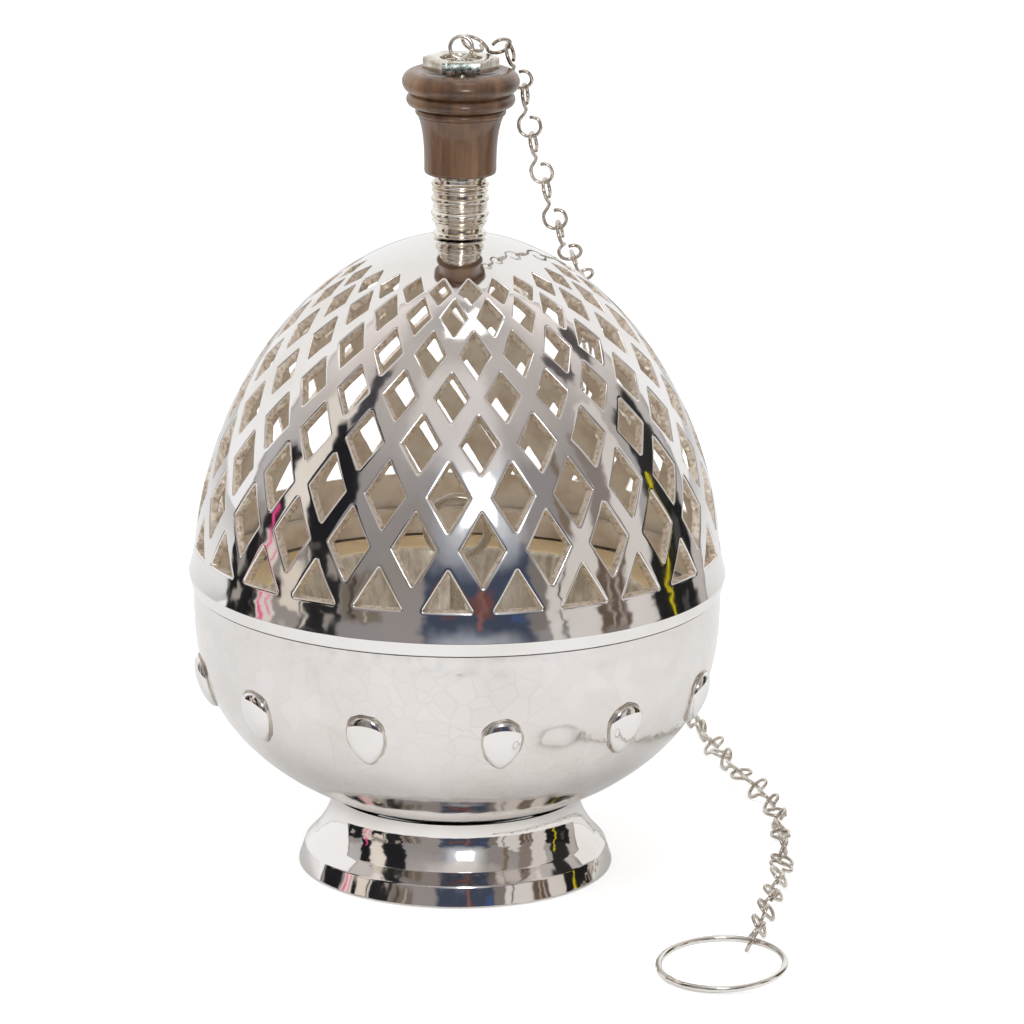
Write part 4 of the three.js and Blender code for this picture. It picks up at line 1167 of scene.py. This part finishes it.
# ---------------------------------------------------------------- floor, world and lamps
def make_floor():
    """A white floor, brighter to the camera than to the silver."""
    mesh = bpy.data.meshes.new("floor")
    size = 6.0
    corners = [(-size, -size, 0), (size, -size, 0), (size, size, 0), (-size, size, 0)]
    mesh.from_pydata(corners, [], [(0, 1, 2, 3)])
    floor = add_object("floor", mesh)
    floor.location.z = -0.0002
    material, tree, shader = new_material("floor", (0.93, 0.93, 0.93), 0.9, 0.0)
    seen = tree.nodes.new("ShaderNodeLightPath").outputs["Is Camera Ray"]
    glow = add_node(tree, "ShaderNodeEmission", {"Color": (1, 1, 1, 1), "Strength": 0.45})
    plain = shader.outputs[0]
    glowing = add_node(tree, "ShaderNodeAddShader", {0: plain, 1: glow.outputs[0]})
    mix = add_node(tree, "ShaderNodeMixShader", {0: seen, 1: plain, 2: glowing.outputs[0]})
    connect(tree, tree.nodes["Material Output"], {"Surface": mix.outputs[0]})
    mesh.materials.append(material)
    floor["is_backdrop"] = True


def make_world():
    """A white world that lights matt surfaces less than it shows in the silver."""
    world = bpy.data.worlds.new("world")
    scene.world = world
    world.use_nodes = True
    tree = world.node_tree
    rays = tree.nodes.new("ShaderNodeLightPath").outputs
    seen = calculate(tree, "MAXIMUM", rays["Is Camera Ray"], rays["Is Glossy Ray"])
    seen = calculate(tree, "MAXIMUM", seen, rays["Is Transmission Ray"])
    inputs = {"Color": (1, 1, 1, 1), "Strength": span(tree, seen, 0.62, 1.0)}
    connect(tree, tree.nodes["Background"], inputs)


def add_lamp(name, place, size, power):
    data = bpy.data.lights.new(name, "AREA")
    data.shape = "RECTANGLE"
    data.size = data.size_y = size
    data.energy = power
    lamp = add_object(name, data)
    lamp.location = place
    target = Vector((0, 0, 0.1))
    lamp.rotation_euler = (target - Vector(place)).to_track_quat("-Z", "Y").to_euler()
    lamp.visible_glossy = False


def make_lamps():
    add_lamp("key", (-0.9, -0.9, 1.5), 0.9, 9)
    add_lamp("fill", (1.3, -0.5, 1.1), 0.9, 5)
    add_lamp("top", (0.0, -0.3, 1.6), 0.7, 5)


# What stands in the room: azimuth and elevation from and to, softness at the edge, colour
ROOM_THINGS = [
    (-112, -58, -24, 9, 2.5, (0.34, 0.31, 0.29)),
    (-106, -88, -24, 4, 1.0, (0.016, 0.016, 0.018)),
    (-101, -96, -6, 0, 1.0, (0.40, 0.37, 0.34)),
    (-79, -59, 9, 44, 5.0, (0.86, 0.80, 0.73)),
    (-88, -79, -4, 24, 1.2, (0.015, 0.015, 0.017)),
    (-86, -77, -24, 5, 1.0, (0.80, 0.72, 0.66)),
    (-84.5, -83, -24, 12, 0.4, (0.88, 0.10, 0.30)),
    (-80.2, -79.2, -24, 3, 0.3, (0.85, 0.20, 0.38)),
    (-77, -66, -24, -2, 1.0, (0.014, 0.014, 0.016)),
    (-73, -61, -5, 2, 1.4, (0.82, 0.74, 0.66)),
    (-64, -56, -24, 8, 1.2, (0.020, 0.020, 0.023)),
    (-66, -46, 8, 37, 2.0, (0.017, 0.017, 0.020)),
    (-57, -47, -24, 9, 1.5, (0.025, 0.024, 0.025)),
    (-63, -61.6, -24, 7, 0.4, (0.70, 0.66, 0.60)),
    (-54, -50, 0, 6, 1.0, (0.34, 0.31, 0.28)),
    (-46, -30, -24, 5, 2.0, (0.20, 0.17, 0.14)),
    (-43, -41, -24, 4, 0.6, (0.08, 0.07, 0.06)),
    (-37, -35.5, -24, 4, 0.5, (0.42, 0.37, 0.31)),
    (-62, -52, 38, 56, 2.5, (0.06, 0.06, 0.07)),
    (-30, -13, -24, 24, 4.0, (0.32, 0.29, 0.28)),
    (-13, 29, -24, 12, 4.0, (0.060, 0.075, 0.115)),
    (-10, 24, 8, 33, 7.0, (0.24, 0.26, 0.31)),
    (-6, 14, -4, 1, 1.6, (0.17, 0.075, 0.065)),
    (9, 11, -24, 6, 0.6, (0.26, 0.12, 0.10)),
    (22, 27, -3, 2, 1.4, (0.06, 0.10, 0.22)),
    (29, 36, -24, 8, 2.0, (0.22, 0.20, 0.19)),
    (36, 60, -24, 18, 1.8, (0.72, 0.68, 0.65)),
    (41, 42, -24, 12, 0.3, (0.03, 0.03, 0.03)),
    (29, 48, 12, 34, 3.0, (0.30, 0.28, 0.28)),
    (44, 48, 14, 38, 1.6, (0.21, 0.16, 0.11)),
    (57, 70, -24, 8, 1.6, (0.14, 0.10, 0.075)),
    (62, 63.4, -24, 8, 0.5, (0.38, 0.33, 0.28)),
    (66, 67.2, -24, 30, 0.5, (0.40, 0.36, 0.33)),
    (59, 72, 6, 34, 3.0, (0.26, 0.22, 0.20)),
    (70, 84, -24, 40, 2.0, (0.74, 0.70, 0.67)),
    (84, 112, -24, 8, 1.5, (0.017, 0.017, 0.018)),
    (90, 108, 6, 30, 2.0, (0.030, 0.030, 0.030)),
    (94, 95.5, -24, 15, 0.35, (0.72, 0.60, 0.02)),
    (101, 106, -4, 3, 1.5, (0.07, 0.07, 0.07)),
    (72, 84, 46, 56, 2.0, (0.12, 0.11, 0.11)),
    (96, 110, 40, 52, 2.5, (0.10, 0.09, 0.09)),
]
# Lamps and their softboxes: azimuth, elevation, half sizes, softness, strength
ROOM_LAMPS = [
    (9, 25, 6.0, 5.5, 4.5, 11.0),
    (9, 25, 15, 12, 14.0, 0.45),
    (25, 79, 46, 4.0, 2.6, 2.6),
    (-3, 50, 24, 13, 12.0, 0.22),
]
# The room's ground tone at each elevation, as red, green and blue
ROOM_LEVELS = [-25, 0, 12, 30, 48, 64, 80, 90]
ROOM_TONES = [
    [0.36, 0.30, 0.30, 0.36, 0.52, 0.58, 0.50, 0.42],
    [0.33, 0.28, 0.29, 0.34, 0.48, 0.54, 0.47, 0.40],
    [0.30, 0.27, 0.29, 0.33, 0.46, 0.52, 0.46, 0.40],
]
ROOM_RADIUS = 0.40
ROOM_CENTRE = (0, 0, 0.09)


def soft_box(value, low, high, soft):
    mask = np.clip((value - low) / soft + 0.5, 0, 1) * np.clip((high - value) / soft + 0.5, 0, 1)
    return mask * mask * (3 - 2 * mask)


def room_tones(ray, axis):
    """The colour of the room in each direction."""
    az = np.degrees(np.arctan2(ray[:, 0], -ray[:, 1]))
    el = np.degrees(np.arcsin(np.clip(ray[:, 2], -1, 1)))
    # nothing in the room has quite straight edges once the wavy silver mirrors it
    wave_az = 1.1 * np.sin(el * 0.31 + az * 0.05) + 0.6 * np.sin(el * 0.83 + 2)
    wave_az = wave_az + 0.35 * np.sin(el * 1.9 + az * 0.11)
    wave_el = 1.0 * np.sin(az * 0.17 + 1) + 0.8 * np.sin(az * 0.41) + 0.45 * np.sin(az * 1.13 + 0.5)
    az_w, el_w = az + wave_az, el + wave_el
    color = np.stack([np.interp(el_w, ROOM_LEVELS, tones) for tones in ROOM_TONES], -1)
    # the sides of the room are lit by the sweep
    lit = np.clip((np.abs(az_w - 5) - 60) / 45, 0, 1)[:, None]
    color = color * (1 + 0.75 * lit)
    for az0, az1, el0, el1, soft, tone in ROOM_THINGS:
        mask = soft_box(az_w, az0, az1, soft) * soft_box(el_w, el0, el1, soft)
        color = color * (1 - mask[:, None]) + np.array(tone) * mask[:, None]
    # darker beside the sweep's edge
    edge = np.clip((ray @ axis - 0.335) / 0.035, 0, 1)[:, None]
    color = color * (1 - 0.45 * edge)
    for az0, el0, half_az, half_el, soft, strength in ROOM_LAMPS:
        mask = soft_box(az, az0 - half_az, az0 + half_az, soft) * soft_box(el, el0 - half_el, el0 + half_el, soft)
        color = color + strength * mask[:, None]
    return color


def make_room():
    """The room in front of the white sweep, as a shell that stops where the sweep begins."""
    axis = Vector((-0.13, 0.96, 0.25)).normalized()
    side = axis.cross(Vector((0, 0, 1))).normalized()
    axis, side, other = (np.array(v) for v in (axis, side, axis.cross(side)))
    rings, sides = 260, 720
    limit = math.acos(-0.37)
    angle = np.linspace(0, limit, rings + 1)[1:, None, None]
    turn = np.linspace(0, 2 * np.pi, sides, endpoint=False)[None, :, None]
    ray = (side * np.cos(turn) + other * np.sin(turn)) * np.sin(angle) - axis * np.cos(angle)
    ray = np.concatenate((-axis[None], ray.reshape(-1, 3)))
    faces = [(0, 1 + k, 1 + (k + 1) % sides) for k in range(sides)]
    faces += grid(rings, sides, 1, flip=True)
    mesh = bpy.data.meshes.new("room")
    mesh.from_pydata((ray * ROOM_RADIUS).tolist(), [], faces)
    color = np.concatenate((room_tones(ray, axis), np.ones((len(ray), 1))), 1)
    mesh.color_attributes.new("tone", "FLOAT_COLOR", "POINT").data.foreach_set("color", color.ravel())
    material = bpy.data.materials.new("room")
    material.use_nodes = True
    tree = material.node_tree
    tree.nodes.remove(tree.nodes["Principled BSDF"])
    tone = tree.nodes.new("ShaderNodeAttribute")
    tone.attribute_name = "tone"
    glow = add_node(tree, "ShaderNodeEmission", {"Color": tone.outputs["Color"]})
    connect(tree, tree.nodes["Material Output"], {"Surface": glow.outputs[0]})
    mesh.materials.append(material)
    room = add_object("room", mesh)
    room.location = ROOM_CENTRE
    room.visible_camera = room.visible_diffuse = False
    room.visible_shadow = room.visible_transmission = False
    room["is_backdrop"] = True


set_camera()
M = make_materials()
make_dome(M)
make_bowl(M)
make_foot(M)
make_studs(M)
handle_base = make_collar(M)
nut_base = make_handle(M, handle_base)
eye_z = make_eye(M, make_nut(M, nut_base))
make_pan(M)
finger = make_ring(M)
make_chain(M, nut_base + NUT_HEIGHT, eye_z)
dress_hidden_nodes(M)
make_floor()
make_world()
make_lamps()
make_room()
scene.view_settings.view_transform = "Standard"

boxes = {"cad": CAD_BOX, "visual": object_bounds()}
{name: [[float(v) for v in corner] for corner in box] for name, box in boxes.items()}
